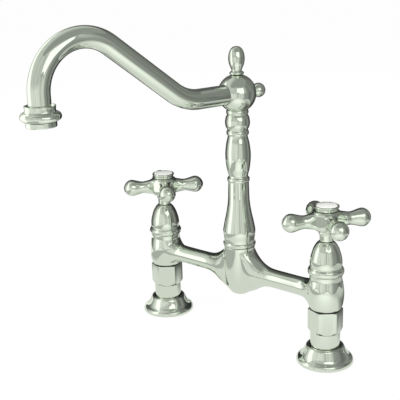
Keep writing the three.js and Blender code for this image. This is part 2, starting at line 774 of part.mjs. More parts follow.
function swivelRing(height) {
  const outer = mixingRadius - fitGap;
  return roundRing(outer - swivelRingSection, swivelRingSection, height);
}

// A spring ring, open on one side, that keeps the column in the bridge.
function snapRing() {
  const inner = spigotRadius - snapRingReach + fitGap;
  const outer = spigotRadius + snapRingReach + fitGap;
  const half = radians(snapRingGap / 2);
  const outline = new THREE.Shape();
  outline.absarc(0, 0, outer, half, 2 * Math.PI - half);
  outline.absarc(0, 0, inner, 2 * Math.PI - half, half, true);
  const plate = new THREE.ExtrudeGeometry(outline, {
    depth: snapRingThickness, bevelEnabled: false, curveSegments: 9,
  });
  return solid(plate.translate(0, 0, snapRingFoot));
}

function swivelBush() {
  return turned(ring(spigotRadius + fitGap, bushRadius, bushFoot, bushTop));
}

// ---- ball, finial, rear knob --------------------------------------------------------------------

function spoutBall() {
  const footAngle = Math.asin((ballFoot - ballHeight) / ballRadius);
  const seatAngle = Math.acos(finialSeatRadius / ballRadius);
  const outline = new THREE.Path();
  outline.moveTo(0, ballFoot);
  outline.lineTo(ballRadius * Math.cos(footAngle), ballFoot);
  outline.absarc(0, ballHeight, ballRadius, footAngle, seatAngle);
  outline.lineTo(0, finialSeat);
  const spigotHole = rod(columnSpigotRadius + fitGap, ballFoot - 1, columnSpigotTop + fitGap);
  const socket = turnedAlongY(rod(tubeSocket, -2 * ballRadius, fitGap - spoutStart));
  const knobHole = turnedAlongY(rod(knobStudRadius + fitGap, knobStudFoot - fitGap, 2 * ballRadius));
  const finialHole = rod(
    finialStudRadius + fitGap,
    finialFoot - finialStudLength - fitGap,
    ballHeight + 2 * ballRadius,
  );
  return turned(outline.getPoints(6))
    .subtract(turned(spigotHole))
    .subtract(turned(rod(waterBore, ballFoot, ballHeight + 2)))
    .subtract(moved(socket, 0, 0, ballHeight))
    .subtract(moved(knobHole, 0, 0, ballHeight))
    .subtract(turned(finialHole));
}

function finial() {
  const ringTop = finialFoot + finialRingHeight;
  const at = (radius, share) => new THREE.Vector2(radius, finialEggFoot + share * finialEggHeight);
  const outline = new THREE.Path();
  outline.moveTo(0, finialFoot - finialStudLength);
  outline.lineTo(finialStudRadius, finialFoot - finialStudLength);
  outline.lineTo(finialStudRadius, finialFoot);
  bead(outline, finialSeatRadius, finialRingRadius, finialFoot, ringTop);
  outline.lineTo(finialNeckRadius, ringTop + 0.3 * finialNeckHeight);
  outline.lineTo(finialNeckRadius, finialEggFoot);
  outline.splineThru([
    at(0.88 * finialEggRadius, 0.16),
    at(finialEggRadius, 0.42),
    at(0.9 * finialEggRadius, 0.72),
    at(0.5 * finialEggRadius, 0.95),
    at(0, 1),
  ]);
  return turned(outline.getPoints(1));
}

// The round knob opposite the spout, on a stud that runs into the ball.
function rearKnob() {
  const seat = ballRadius + fitGap;
  const neckAngle = Math.acos(knobNeckRadius / knobRadius);
  const outline = new THREE.Path();
  outline.moveTo(0, knobStudFoot);
  outline.lineTo(knobStudRadius, knobStudFoot);
  outline.lineTo(knobStudRadius, seat);
  outline.lineTo(knobNeckRadius, seat);
  outline.absarc(0, knobReach, knobRadius, -neckAngle, Math.PI / 2);
  return moved(turnedAlongY(outline.getPoints(4)), 0, 0, ballHeight);
}

// ---- spout tube ---------------------------------------------------------------------------------

// The tube's centre line, in the plane of reach (along -Y) and height.
function spoutRoute() {
  const rise = radians(spoutRiseAngle);
  const bends = spoutStub + spoutRiseRadius * Math.sin(rise) + crookRadius * (1 + Math.sin(rise));
  const slope = (spoutReach - bends) / Math.cos(rise);
  const riseEnd = {
    reach: spoutStub + spoutRiseRadius * Math.sin(rise),
    height: ballHeight + spoutRiseRadius * (1 - Math.cos(rise)),
  };
  const slopeEnd = {
    reach: riseEnd.reach + slope * Math.cos(rise),
    height: riseEnd.height + slope * Math.sin(rise),
  };
  const crook = {
    reach: slopeEnd.reach + crookRadius * Math.sin(rise),
    height: slopeEnd.height - crookRadius * Math.cos(rise),
  };
  const route = new THREE.Path();
  route.moveTo(spoutStart, ballHeight);
  route.lineTo(spoutStub, ballHeight);
  route.absarc(
    spoutStub, ballHeight + spoutRiseRadius,
    spoutRiseRadius, -Math.PI / 2, rise - Math.PI / 2,
  );
  route.lineTo(slopeEnd.reach, slopeEnd.height);
  route.absarc(crook.reach, crook.height, crookRadius, Math.PI / 2 + rise, 0, true);
  route.lineTo(spoutReach, spoutEnd);
  return route;
}

// A flat route stood up in the plane x = 0.
class SpoutLine extends THREE.Curve {
  constructor(route) {
    super();
    this.route = route;
    this.arcLengthDivisions = 400;
  }

  getPoint(share, target = new THREE.Vector3()) {
    const { x: reach, y: height } = this.route.getPointAt(share);
    return target.set(0, -reach, height);
  }
}

function spoutTube() {
  const section = new THREE.Shape().absarc(0, 0, spoutRadius, 0, 2 * Math.PI);
  section.holes.push(new THREE.Path().absarc(0, 0, spoutInside, 0, 2 * Math.PI, true));
  const tube = new THREE.ExtrudeGeometry(section, {
    extrudePath: new SpoutLine(spoutRoute()),
    steps: 30,
    curveSegments: 7,
    bevelEnabled: false,
  });
  return solid(tube);
}

// ---- aerator ------------------------------------------------------------------------------------

// The collar at the tube's end: a recessed cup above a heavy round bead.
function aeratorCollar() {
  const outline = new THREE.Path();
  outline.moveTo(aeratorThreadRadius + fitGap, beadFoot);
  bead(outline, cupRadius, beadRadius, beadFoot, beadTop);
  outline.lineTo(cupRadius, cupTop);
  outline.lineTo(cupRadius - cupLip, cupTop);
  outline.lineTo(tubeSocket + 0.8, cupTop - cupRecess);
  outline.lineTo(tubeSocket, cupTop - cupRecess);
  outline.lineTo(tubeSocket, spoutEnd - fitGap);
  outline.lineTo(spoutInside, spoutEnd - fitGap);
  outline.lineTo(spoutInside, cupThreadTop);
  outline.lineTo(aeratorThreadRadius + fitGap, cupThreadTop);
  return turned(closed(outline.getPoints(1)));
}

// The screwed-in housing, with two flats for a spanner and a lip that holds the screen.
function aeratorHousing() {
  const shell = turned(closed(corners(
    [aeratorBore - aeratorLip, aeratorBottom], [aeratorRadius - 0.6, aeratorBottom],
    [aeratorRadius, aeratorBottom + 0.6], [aeratorRadius, aeratorTop],
    [aeratorThreadRadius, aeratorTop], [aeratorThreadRadius, aeratorThreadTop],
    [aeratorBore, aeratorThreadTop], [aeratorBore, aeratorBottom + aeratorLip],
    [aeratorBore - aeratorLip, aeratorBottom + aeratorLip],
  )));
  const width = 4;
  const flat = solid(new THREE.BoxGeometry(width, 3 * aeratorRadius, 2 * aeratorHeight));
  const across = (aeratorFlats + width) / 2;
  return shell
    .subtract(moved(flat, across, 0, aeratorBottom))
    .subtract(moved(flat, -across, 0, aeratorBottom));
}

// A perforated disc: a middle hole and a ring of six round it.
function aeratorScreen() {
  const foot = aeratorBottom + aeratorLip + fitGap;
  let screen = turned(rod(aeratorBore - fitGap, foot, foot + screenThickness));
  const hole = turned(rod(screenHoleRadius, foot - 1, foot + screenThickness + 1), 6);
  for (const [circle, count] of [[0, 1], [1, 6]]) {
    for (let k = 0; k < count; k += 1) {
      const angle = (2 * Math.PI * k) / count;
      const reach = circle * screenPitch;
      screen = screen.subtract(moved(hole, reach * Math.cos(angle), reach * Math.sin(angle)));
    }
  }
  return screen;
}

function aeratorWasher() {
  return turned(ring(
    spoutInside, aeratorThreadRadius,
    aeratorWasherFoot, aeratorWasherFoot + aeratorWasherThickness,
  ));
}

// ---- the assembly -------------------------------------------------------------------------------

const faucet = new THREE.Group();

// The plan centre of the whole faucet, seen from the middle of the bridge.
function handleSpan(turn) {
  const along = Math.abs(Math.cos(radians(turn)));
  const across = Math.abs(Math.sin(radians(turn)));
  return handleReach * Math.max(along, across) + handleBallRadius;
}
const right = supplySpacing / 2 + handleSpan(coldTurn);
const left = -supplySpacing / 2 - handleSpan(hotTurn);
const front = -spoutReach * Math.cos(radians(spoutTurn)) - beadRadius;
const back = Math.max(
  handleSpan(coldTurn),
  handleSpan(hotTurn),
  flangeRadius,
  knobReach * Math.cos(radians(spoutTurn)) + knobRadius,
);
faucet.position.set(-(right + left) / 2, -(front + back) / 2, 0);

add(faucet, 'bridge_body', bridgeBody(), materials.chrome);
add(faucet, 'swivel_bush', swivelBush(), materials.acetal);
add(faucet, 'spout_snap_ring', snapRing(), materials.steel);

const sides = [
  { name: 'hot', place: -supplySpacing / 2, turn: hotTurn },
  { name: 'cold', place: supplySpacing / 2, turn: coldTurn },
];
for (const { name, place, turn } of sides) {
  const valve = new THREE.Group();
  valve.position.set(place, 0, 0);
  add(valve, `${name}_flange`, flange(), materials.chrome);
  add(valve, `${name}_flange_gasket`, flangeGasket(), materials.rubber);
  add(valve, `${name}_shank_collar`, shankCollar(), materials.chrome);
  add(valve, `${name}_supply_shank`, supplyShank(), materials.brass);
  add(valve, `${name}_union_nut`, unionNut(), materials.chrome);
  add(valve, `${name}_union_washer`, unionWasher(), materials.rubber);
  add(valve, `${name}_seat_seal`, seatSeal(), materials.rubber);
  add(valve, `${name}_cartridge_body`, cartridgeBody(), materials.brass);
  add(valve, `${name}_fixed_disc`, ceramicDisc(fixedDiscFoot), materials.ceramic);
  add(valve, `${name}_bonnet`, bonnet(), materials.chrome);

  const handle = new THREE.Group();
  handle.rotation.z = radians(turn);
  add(handle, `${name}_turning_disc`, ceramicDisc(turningDiscFoot), materials.ceramic);
  add(handle, `${name}_valve_stem`, valveStem(), materials.brass);
  add(handle, `${name}_stem_ring`, stemRing(), materials.rubber);
  add(handle, `${name}_cross_handle`, crossHandle(), materials.chrome);
  add(handle, `${name}_handle_screw`, handleScrew(), materials.steel);
  add(handle, `${name}_index_bezel`, indexBezel(), materials.chrome);
  add(handle, `${name}_index_button`, indexButton(), materials.enamel);
  valve.add(handle);
  faucet.add(valve);
}

const spout = new THREE.Group();
spout.rotation.z = radians(spoutTurn);
add(spout, 'column', column(), materials.chrome);
add(spout, 'lower_swivel_ring', swivelRing(spigotFoot + lowerRingRise), materials.rubber);
add(spout, 'upper_swivel_ring', swivelRing(spigotFoot + upperRingRise), materials.rubber);
add(spout, 'spout_ball', spoutBall(), materials.chrome);
add(spout, 'finial', finial(), materials.chrome);
add(spout, 'rear_knob', rearKnob(), materials.chrome);
add(spout, 'spout_tube', spoutTube(), materials.chrome);

const outlet = new THREE.Group();
outlet.position.set(0, -spoutReach, 0);
add(outlet, 'aerator_collar', aeratorCollar(), materials.chrome);
add(outlet, 'aerator_housing', aeratorHousing(), materials.chrome);
add(outlet, 'aerator_screen', aeratorScreen(), materials.acetal);
add(outlet, 'aerator_washer', aeratorWasher(), materials.rubber);
spout.add(outlet);
faucet.add(spout);

export default faucet;
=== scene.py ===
import math

import bmesh
import bpy
from mathutils import Matrix, Vector
from mathutils.geometry import interpolate_bezier


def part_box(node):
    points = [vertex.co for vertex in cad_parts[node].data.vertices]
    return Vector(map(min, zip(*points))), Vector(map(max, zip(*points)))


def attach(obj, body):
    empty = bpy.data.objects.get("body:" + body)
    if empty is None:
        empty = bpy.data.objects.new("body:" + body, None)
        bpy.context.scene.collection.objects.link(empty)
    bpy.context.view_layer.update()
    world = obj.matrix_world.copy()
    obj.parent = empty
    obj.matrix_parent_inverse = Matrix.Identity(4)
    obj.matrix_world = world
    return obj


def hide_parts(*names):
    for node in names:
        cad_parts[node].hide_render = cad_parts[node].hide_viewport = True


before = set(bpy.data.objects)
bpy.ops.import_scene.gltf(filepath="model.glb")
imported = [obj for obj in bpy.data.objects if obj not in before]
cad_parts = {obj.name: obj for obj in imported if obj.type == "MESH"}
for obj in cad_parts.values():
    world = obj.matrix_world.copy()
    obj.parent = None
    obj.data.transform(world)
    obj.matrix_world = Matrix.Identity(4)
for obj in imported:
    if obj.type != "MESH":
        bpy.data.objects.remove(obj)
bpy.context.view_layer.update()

# ---- camera ----------------------------------------------
# The faucet is seen from its cold side and a little above the handles, at the photograph's angle.
# The place was fitted to the flanges, handles and column, with the supplies 8 inches apart.

MM = 0.001
CAMERA_PLACE = Vector((495.71, -528.6, 375.98)) * MM
CAMERA_AZIMUTH = math.radians(41.42)
CAMERA_TILT = math.radians(16.38)
CAMERA_ROLL = math.radians(-1.74)
CAMERA_LENS = 75.68

camera = bpy.data.objects.new("camera", bpy.data.cameras.new("camera"))
camera.data.lens = CAMERA_LENS
camera.location = CAMERA_PLACE
camera.rotation_euler = (
    Matrix.Rotation(CAMERA_AZIMUTH, 3, "Z")
    @ Matrix.Rotation(math.pi / 2 - CAMERA_TILT, 3, "X")
    @ Matrix.Rotation(CAMERA_ROLL, 3, "Z")
).to_euler()
bpy.context.scene.collection.objects.link(camera)
bpy.context.scene.camera = camera
bpy.context.scene.view_settings.view_transform = "Standard"

# ---- studio ----------------------------------------------
# A white table in a white room with soft lamps overhead. What the chrome mirrors is a small grey
# room of painted light and shade round the table, seen only in reflections: a tall light on the
# left, a window in front, dim walls right and behind.


class NodeTree:
    """Short ways to add and join the nodes of one material or of the world."""

    def __init__(self, owner):
        owner.use_nodes = True
        self.tree = owner.node_tree
        self.tree.nodes.clear()

    def add(self, kind, inputs=None, **settings):
        node = self.tree.nodes.new(kind)
        for name, value in settings.items():
            setattr(node, name, value)
        for name, value in (inputs or {}).items():
            self.feed(node.inputs[name], value)
        return node

    def feed(self, socket, value):
        if isinstance(value, bpy.types.NodeSocket):
            self.tree.links.new(value, socket)
        else:
            socket.default_value = value

    def math(self, operation, *values, clamp=False):
        node = self.add("ShaderNodeMath", operation=operation, use_clamp=clamp)
        for socket, value in zip(node.inputs, values):
            self.feed(socket, value)
        return node.outputs[0]

    def step(self, value, low, high):
        """0 at low, 1 at high, smooth between them; low may also be the greater one."""
        node = self.add(
            "ShaderNodeMapRange",
            {"Value": value, "From Min": low, "From Max": high},
            interpolation_type="SMOOTHSTEP",
        )
        return node.outputs["Result"]

    def box(self, across, left, right_edge, upwards, low, high):
        """1 inside a box in two values and 0 outside it. Each edge is a pair: outside, inside."""
        sides = self.math("MULTIPLY", self.step(across, *left), self.step(across, *right_edge))
        ends = self.math("MULTIPLY", self.step(upwards, *low), self.step(upwards, *high))
        return self.math("MULTIPLY", sides, ends)

    def noise(self, where, scale, detail=2.0, roughness=0.5):
        node = self.add(
            "ShaderNodeTexNoise",
            {"Vector": where, "Scale": scale, "Detail": detail, "Roughness": roughness},
        )
        return node.outputs["Fac"]

    def mix(self, share, first, second):
        node = self.add("ShaderNodeMix", data_type="RGBA")
        self.feed(node.inputs[0], share)
        self.feed(node.inputs[6], first)
        self.feed(node.inputs[7], second)
        return node.outputs[2]

    def greys(self, value, levels):
        """Greys along a value, through pairs of (value, level)."""
        low, high = levels[0][0], levels[-1][0]
        share = self.math("DIVIDE", self.math("SUBTRACT", value, low), high - low)
        ramp = self.add("ShaderNodeValToRGB", {"Fac": share})
        stops = ramp.color_ramp.elements
        while len(stops) < len(levels):
            stops.new(1.0)
        for stop, (at, level) in zip(stops, levels):
            stop.position = (at - low) / (high - low)
        for stop, (at, level) in zip(stops, levels):
            stop.color = grey(level)
        return ramp.outputs["Color"]


CHROME_MIRRORS = 0.85  # the share of the light that the chrome gives back
ROOM_TINT = (0.965, 1.0, 0.93)
WHITE = (1.0, 1.0, 1.0, 1.0)


def grey(level):
    """A grey of the room that shows at this level in the chrome, with a slight green cast."""
    return (*(part * level / CHROME_MIRRORS for part in ROOM_TINT), 1.0)


def axis_of(node):
    """The upright axis of a round node, as a point on the deck."""
    low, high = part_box(node)
    return Vector(((low.x + high.x) / 2, (low.y + high.y) / 2, 0.0))


def placed(bm, name, *materials):
    """A new object in the scene, from a finished bmesh."""
    mesh = bpy.data.meshes.new(name)
    bm.to_mesh(mesh)
    bm.free()
    for material in materials:
        mesh.materials.append(material)
    thing = bpy.data.objects.new(name, mesh)
    bpy.context.scene.collection.objects.link(thing)
    return thing


DIFFUSE_SKY = 0.82  # dimmer than the white that shows, so that matt surfaces don't burn out
world = bpy.data.worlds.new("studio")
bpy.context.scene.world = world
sky = NodeTree(world)
path = sky.add("ShaderNodeLightPath")
shown = sky.math("MAXIMUM", path.outputs["Is Camera Ray"], path.outputs["Is Glossy Ray"])
shown = sky.math("MAXIMUM", shown, path.outputs["Is Transmission Ray"])
plain = (DIFFUSE_SKY, DIFFUSE_SKY, DIFFUSE_SKY, 1.0)
background = sky.add(
    "ShaderNodeBackground", {"Color": sky.mix(shown, plain, WHITE), "Strength": 1.0}
)
output = sky.add("ShaderNodeOutputWorld")
sky.feed(output.inputs["Surface"], background.outputs[0])

ROOM_RADIUS = 400 * MM
ROOM_HEIGHT = 650 * MM
ROOM_AHEAD = 150 * MM  # its middle stands this far in front of the column
bm = bmesh.new()
bmesh.ops.create_cone(
    bm, cap_ends=True, segments=128, radius1=ROOM_RADIUS, radius2=ROOM_RADIUS, depth=ROOM_HEIGHT,
)
bmesh.ops.translate(bm, verts=bm.verts, vec=(0, 0, ROOM_HEIGHT / 2))
floor = [face for face in bm.faces if face.calc_center_median().z < MM]
bmesh.ops.delete(bm, geom=floor, context="FACES_ONLY")
room = placed(bm, "mirrored_room")
turn_to_camera = Matrix.Rotation(CAMERA_AZIMUTH, 3, "Z")
room.location = axis_of("column") + turn_to_camera @ Vector((0, -ROOM_AHEAD, 0))
room.rotation_euler = (0, 0, CAMERA_AZIMUTH)
room.visible_camera = room.visible_diffuse = room.visible_transmission = False
room.visible_volume_scatter = room.visible_shadow = False

# pairs of a bearing and a grey; bearings are in degrees, 0 in front and positive to the right
LOW_WALL = (
    (-180, 0.02), (-158, 0.04), (-146, 0.12), (-136, 0.34), (-122, 0.70), (-100, 0.95),
    (-80, 0.75), (-65, 0.69), (-40, 0.78), (-20, 0.72), (-5, 0.61), (10, 0.65), (30, 0.70),
    (42, 0.64), (50, 0.46), (60, 0.34), (80, 0.25), (105, 0.16), (122, 0.28), (134, 0.18),
    (148, 0.05), (180, 0.02),
)
HIGH_WALL = (
    (-180, 0.10), (-162, 0.12), (-150, 0.27), (-130, 0.60), (-95, 0.64), (-80, 0.56),
    (-10, 0.53), (56, 0.57), (64, 0.45), (72, 0.33), (82, 0.25), (140, 0.22), (160, 0.12),
    (180, 0.10),
)
room_paint = bpy.data.materials.new("room_paint")
room_paint.cycles.emission_sampling = "NONE"
wall = NodeTree(room_paint)
where = wall.add("ShaderNodeTexCoord").outputs["Object"]
right, away, height = wall.add("ShaderNodeSeparateXYZ", {"Vector": where}).outputs
front = wall.math("MULTIPLY", away, -1.0)
bearing = wall.math("MULTIPLY", wall.math("ARCTAN2", right, front), 180 / math.pi)
walls = wall.mix(
    wall.step(height, 250 * MM, 330 * MM),
    wall.greys(bearing, LOW_WALL), wall.greys(bearing, HIGH_WALL),
)
# painted shade: the walls darken a little towards their foot
walls = wall.mix(wall.step(height, 60 * MM, 0.0), walls, wall.mix(0.1, walls, grey(0.0)))

# painted shade in the folds of a cloth hanging round the walls
FOLDS_PER_DEGREE = 0.11
hanging = {"X": wall.math("MULTIPLY", bearing, FOLDS_PER_DEGREE), "Y": height}
folds = wall.noise(wall.add("ShaderNodeCombineXYZ", hanging).outputs[0], 1.0, 3.0, 0.7)
walls = wall.mix(wall.math("MULTIPLY", wall.step(folds, 0.52, 0.34), 0.6), walls, grey(0.10))

lean = wall.math("MULTIPLY", wall.step(height, 300 * MM, 520 * MM), 26.0)
tall_light = wall.box(
    wall.math("ADD", bearing, lean), (-120, -110), (-82, -92),
    height, (-50 * MM, 70 * MM), (600 * MM, 480 * MM),
)
walls = wall.mix(tall_light, walls, grey(1.15))

sill = wall.math("ADD", height, wall.math("MULTIPLY", wall.step(bearing, 28.0, 6.0), -75 * MM))
frame_round = wall.box(
    bearing, (-14, -10), (59, 57), sill, (270 * MM, 278 * MM), (645 * MM, 640 * MM),
)
walls = wall.mix(wall.math("MULTIPLY", frame_round, 0.45), walls, grey(0.12))
window = wall.box(bearing, (-12, 2), (56, 53), sill, (285 * MM, 300 * MM), (625 * MM, 615 * MM))
twigs = wall.math("ABSOLUTE", wall.math("SUBTRACT", wall.noise(where, 9.0, 1.0), 0.5))
daylight = wall.mix(wall.step(twigs, 0.016, 0.006), grey(1.2), grey(0.55))
walls = wall.mix(window, walls, daylight)

# the table's edge, which dips in scallops, with a painted shadow line along it; below it the
# table's front, with painted shade to the right
from_middle = wall.math("SUBTRACT", bearing, 10.0)
scallop = wall.math("COSINE", wall.math("MULTIPLY", from_middle, math.tau / 82))
table_edge = wall.math("SUBTRACT", height, wall.math("MULTIPLY", scallop, 25 * MM))
walls = wall.mix(wall.step(table_edge, 19 * MM, 14 * MM), walls, grey(0.16))
table_front = wall.mix(wall.step(bearing, 35.0, 75.0), grey(0.86), grey(0.55))
walls = wall.mix(wall.step(table_edge, 14 * MM, 10 * MM), walls, table_front)

# painted light on the ceiling: lighter in front and towards the back left
ceiling = wall.mix(wall.step(front, 230 * MM, 380 * MM), grey(0.29), grey(0.52))
back_left = wall.math("SUBTRACT", away, right)
ceiling = wall.mix(wall.step(back_left, 120 * MM, 420 * MM), ceiling, grey(0.58))
colour = wall.mix(wall.math("GREATER_THAN", height, ROOM_HEIGHT - MM), walls, ceiling)
light = wall.add("ShaderNodeEmission", {"Color": colour, "Strength": 1.0})
output = wall.add("ShaderNodeOutputMaterial")
wall.feed(output.inputs["Surface"], light.outputs[0])
room.data.materials.append(room_paint)

TABLE_HALF = 9.0
TABLE_GLOW = 0.94  # how much of it shows as even white; the rest takes the soft shadows
BRIGHT_RIGHT = 70 * MM  # where the chrome sees the table at its brightest
BRIGHT_FRONT = 260 * MM
table_paint = bpy.data.materials.new("table_paint")
table_paint.cycles.emission_sampling = "NONE"
coat = NodeTree(table_paint)
where = coat.add("ShaderNodeTexCoord").outputs["Object"]
right, away = coat.add("ShaderNodeSeparateXYZ", {"Vector": where}).outputs[:2]
from_bright = coat.add(
    "ShaderNodeVectorMath", {0: where, 1: (BRIGHT_RIGHT, -BRIGHT_FRONT, 0.0)}, operation="DISTANCE",
).outputs["Value"]
# painted light and shade: the table as the chrome sees it has a painted pool of light a little in
# front and to the right
painted_table_lighting = coat.mix(coat.step(from_bright, 300 * MM, 30 * MM), grey(0.68), grey(0.96))
behind = coat.math(
    "ADD",
    coat.math("MULTIPLY", right, math.sin(CAMERA_AZIMUTH)),
    coat.math("MULTIPLY", away, math.cos(CAMERA_AZIMUTH)),
)
# painted shade on the table behind the column and towards both sides
painted_table_lighting = coat.mix(coat.step(behind, 125 * MM, 170 * MM), painted_table_lighting, grey(0.34))
painted_table_lighting = coat.mix(coat.step(behind, 160 * MM, 220 * MM), painted_table_lighting, grey(0.11))
painted_table_lighting = coat.mix(coat.step(right, -110 * MM, -150 * MM), painted_table_lighting, grey(0.42))
painted_table_lighting = coat.mix(coat.step(right, 230 * MM, 380 * MM), painted_table_lighting, grey(0.50))
path = coat.add("ShaderNodeLightPath")
matt = coat.add("ShaderNodeBsdfDiffuse", {"Color": (0.95, 0.95, 0.95, 1.0)})
glow = coat.add("ShaderNodeEmission", {"Color": WHITE, "Strength": 1.0})
image = coat.add("ShaderNodeEmission", {"Color": painted_table_lighting, "Strength": 1.0})
seen = coat.add("ShaderNodeMixShader")
coat.feed(seen.inputs[0], coat.math("MULTIPLY", path.outputs["Is Camera Ray"], TABLE_GLOW))
coat.feed(seen.inputs[1], matt.outputs[0])
coat.feed(seen.inputs[2], glow.outputs[0])
shown = coat.add("ShaderNodeMixShader")
coat.feed(shown.inputs[0], path.outputs["Is Glossy Ray"])
coat.feed(shown.inputs[1], seen.outputs[0])
coat.feed(shown.inputs[2], image.outputs[0])
output = coat.add("ShaderNodeOutputMaterial")
coat.feed(output.inputs["Surface"], shown.outputs[0])

bm = bmesh.new()
bmesh.ops.create_grid(bm, x_segments=1, y_segments=1, size=TABLE_HALF)
table = placed(bm, "table", table_paint)
table.rotation_euler = (0, 0, CAMERA_AZIMUTH)

LAMPS = (
    # name, place in metres, size in metres, power in watts
    ("lamp_front_left", (-0.5, -1.1, 1.3), 1.0, 9.0),
    ("lamp_right", (1.3, -0.2, 1.2), 1.0, 7.0),
    ("lamp_behind", (-0.4, 1.2, 1.4), 1.2, 6.0),
)
for name, place, size, power in LAMPS:
    lamp = bpy.data.objects.new(name, bpy.data.lights.new(name, "AREA"))
    lamp.data.size = size
    lamp.data.energy = power
    lamp.location = place
    lamp.rotation_euler = Vector(place).to_track_quat("Z", "Y").to_euler()
    lamp.visible_glossy = False
    bpy.context.scene.collection.objects.link(lamp)

# ---- supply shanks and deck gaskets ----------------------
# Each supply comes up through the deck in a plain brass shank with a flat head for the union.
# A black rubber gasket lies under the flange. Both are hidden, and keep their turned shapes.

SIDES = ("hot", "cold")


def finish_of(name):
    """A new material with its Principled shader and the object's own coordinates."""
    material = bpy.data.materials.new(name)
    nodes = NodeTree(material)
    shader = nodes.add("ShaderNodeBsdfPrincipled")
    output = nodes.add("ShaderNodeOutputMaterial")
    nodes.feed(output.inputs["Surface"], shader.outputs[0])
    where = nodes.add("ShaderNodeTexCoord").outputs["Object"]
    return material, nodes, shader, where


def toned(nodes, shader, cloud, first, second, gloss, rough, spread):
    """A colour between two tones by one noise, and a roughness from rough up by another."""
    nodes.feed(shader.inputs["Base Color"], nodes.mix(cloud, (*first, 1.0), (*second, 1.0)))
    shine = nodes.math("ADD", nodes.math("MULTIPLY", gloss, spread), rough)
    nodes.feed(shader.inputs["Roughness"], shine)


def bumped(nodes, shader, height, strength, distance, **under):
    bump = nodes.add(
        "ShaderNodeBump", {"Height": height, "Strength": strength, "Distance": distance, **under}
    )
    nodes.feed(shader.inputs["Normal"], bump.outputs[0])
    return bump.outputs[0]


def lathe_lines(nodes, where, around, along, detail=3.0):
    """Fine rings round an upright piece, as the tool or the buff leaves them."""
    squeezed = nodes.add("ShaderNodeMapping", {"Vector": where, "Scale": (around, around, along)})
    return nodes.noise(squeezed.outputs[0], 1.0, detail)


def turned_brass():
    """Bare machined brass: fine rings left by the lathe and a little tarnish."""
    material, nodes, shader, where = finish_of("turned_brass")
    shader.inputs["Metallic"].default_value = 1.0
    rings = lathe_lines(nodes, where, 30.0, 2600.0)
    tarnish = nodes.noise(where, 140.0, 4.0)
    toned(nodes, shader, tarnish, (0.72, 0.55, 0.27), (0.60, 0.43, 0.18), rings, 0.2, 0.2)
    bumped(nodes, shader, rings, 0.25, 0.05 * MM)
    return material


def black_rubber():
    """Moulded black rubber: dull, with a fine grain and a trace of dust."""
    material, nodes, shader, where = finish_of("black_rubber")
    grain = nodes.noise(where, 2200.0, 3.0)
    dust = nodes.noise(where, 120.0, 4.0)
    toned(nodes, shader, dust, (0.016, 0.016, 0.017), (0.045, 0.045, 0.046), grain, 0.6, 0.2)
    bumped(nodes, shader, grain, 0.3, 0.05 * MM)
    return material


brass = turned_brass()
rubber = black_rubber()


def finished_as(material, *names):
    """Gives CAD nodes that keep their shape their finish."""
    for name in names:
        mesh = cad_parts[name].data
        mesh.materials.clear()
        mesh.materials.append(material)


for side in SIDES:
    finished_as(brass, f"{side}_supply_shank")
    finished_as(rubber, f"{side}_flange_gasket", f"{side}_union_washer")

# ---- deck flanges ----------------------------------------
# A spun brass shell, chromed and polished: a rolled rim on the deck, a crease, and a cone that
# hides the hole in the deck and closes round the shank's collar.

RIM_ANGLE = math.radians(25)  # a turned edge at least this sharp is eased
RIM_EASE = 0.22
ROW_PITCH = 0.8
LOOP_INSET = 0.5
WELD = 1e-6
COLLAR_GAP = 0.7


def moved(bm, by):
    bmesh.ops.translate(bm, verts=bm.verts, vec=by)
    return bm


def rotated(bm, angle, axis="Z"):
    bmesh.ops.rotate(bm, verts=bm.verts, matrix=Matrix.Rotation(angle, 3, axis))
    return bm


def drawn_line(points):
    """A close row of points: straight between two, and otherwise a smooth line through them all."""
    if len(points) == 2:
        start, end = points
        length = (end - start).length
        inset = min(LOOP_INSET, length / 3)
        along = (end - start).normalized()
        return [start, start + inset * along, end - inset * along, end]
    spans = [(b - a).length for a, b in zip(points, points[1:])]
    chords = [(b - a) / span for a, b, span in zip(points, points[1:], spans)]
    slopes = [
        (chords[i] * spans[i + 1] + chords[i + 1] * spans[i]) / (spans[i] + spans[i + 1])
        for i in range(len(chords) - 1)
    ]
    slopes = [1.5 * chords[0] - 0.5 * slopes[0], *slopes, 1.5 * chords[-1] - 0.5 * slopes[-1]]
    line = [points[0]]
    for i, span in enumerate(spans):
        steps = max(2, round(span / ROW_PITCH))
        third = span / 3
        line += interpolate_bezier(
            points[i], points[i] + third * slopes[i],
            points[i + 1] - third * slopes[i + 1], points[i + 1], steps + 1,
        )[1:]
    return line


def turned(runs, foot=0.0, steps=96, ease=RIM_EASE):
    """A turned piece from runs of (radius, height) in millimetres, each drawn on from the last."""
    line = []
    for run in runs:
        points = [Vector((radius, 0.0, height)) for radius, height in run]
        drawn = drawn_line([line[-1], *points] if line else points)
        line += drawn[1:] if line else drawn
    bm = bmesh.new()
    verts = [bm.verts.new(point * MM) for point in line]
    edges = [bm.edges.new(pair) for pair in zip(verts, verts[1:])]
    bmesh.ops.spin(
        bm, geom=verts + edges, cent=(0, 0, 0), axis=(0, 0, 1),
        angle=2 * math.pi, steps=steps, use_merge=True,
    )
    bmesh.ops.remove_doubles(bm, verts=bm.verts, dist=WELD)
    bmesh.ops.recalc_face_normals(bm, faces=bm.faces)
    rims = [e for e in bm.edges if e.is_manifold and e.calc_face_angle() > RIM_ANGLE]
    if rims and ease:
        bmesh.ops.bevel(
            bm, geom=rims, offset=ease * MM, offset_type="OFFSET", segments=2,
            profile=0.5, affect="EDGES", clamp_overlap=True, material=-1,
        )
    return moved(bm, (0, 0, foot))


def corners(*points):
    """Straight runs from corner to corner, back to the first one."""
    return [points[:2], *[(point,) for point in points[2:]], (points[0],)]


SHARP_ANGLE = math.radians(38)


def made(bm, name, material, body, stands_for):
    """A finished piece, with its finish, the body it rides on and the nodes it stands for."""
    for face in bm.faces:
        face.smooth = True
    for edge in bm.edges:
        if edge.calc_face_angle(0.0) > SHARP_ANGLE:
            edge.smooth = False
    piece = placed(bm, name, material)
    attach(piece, body)
    if stands_for:
        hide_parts(*stands_for)


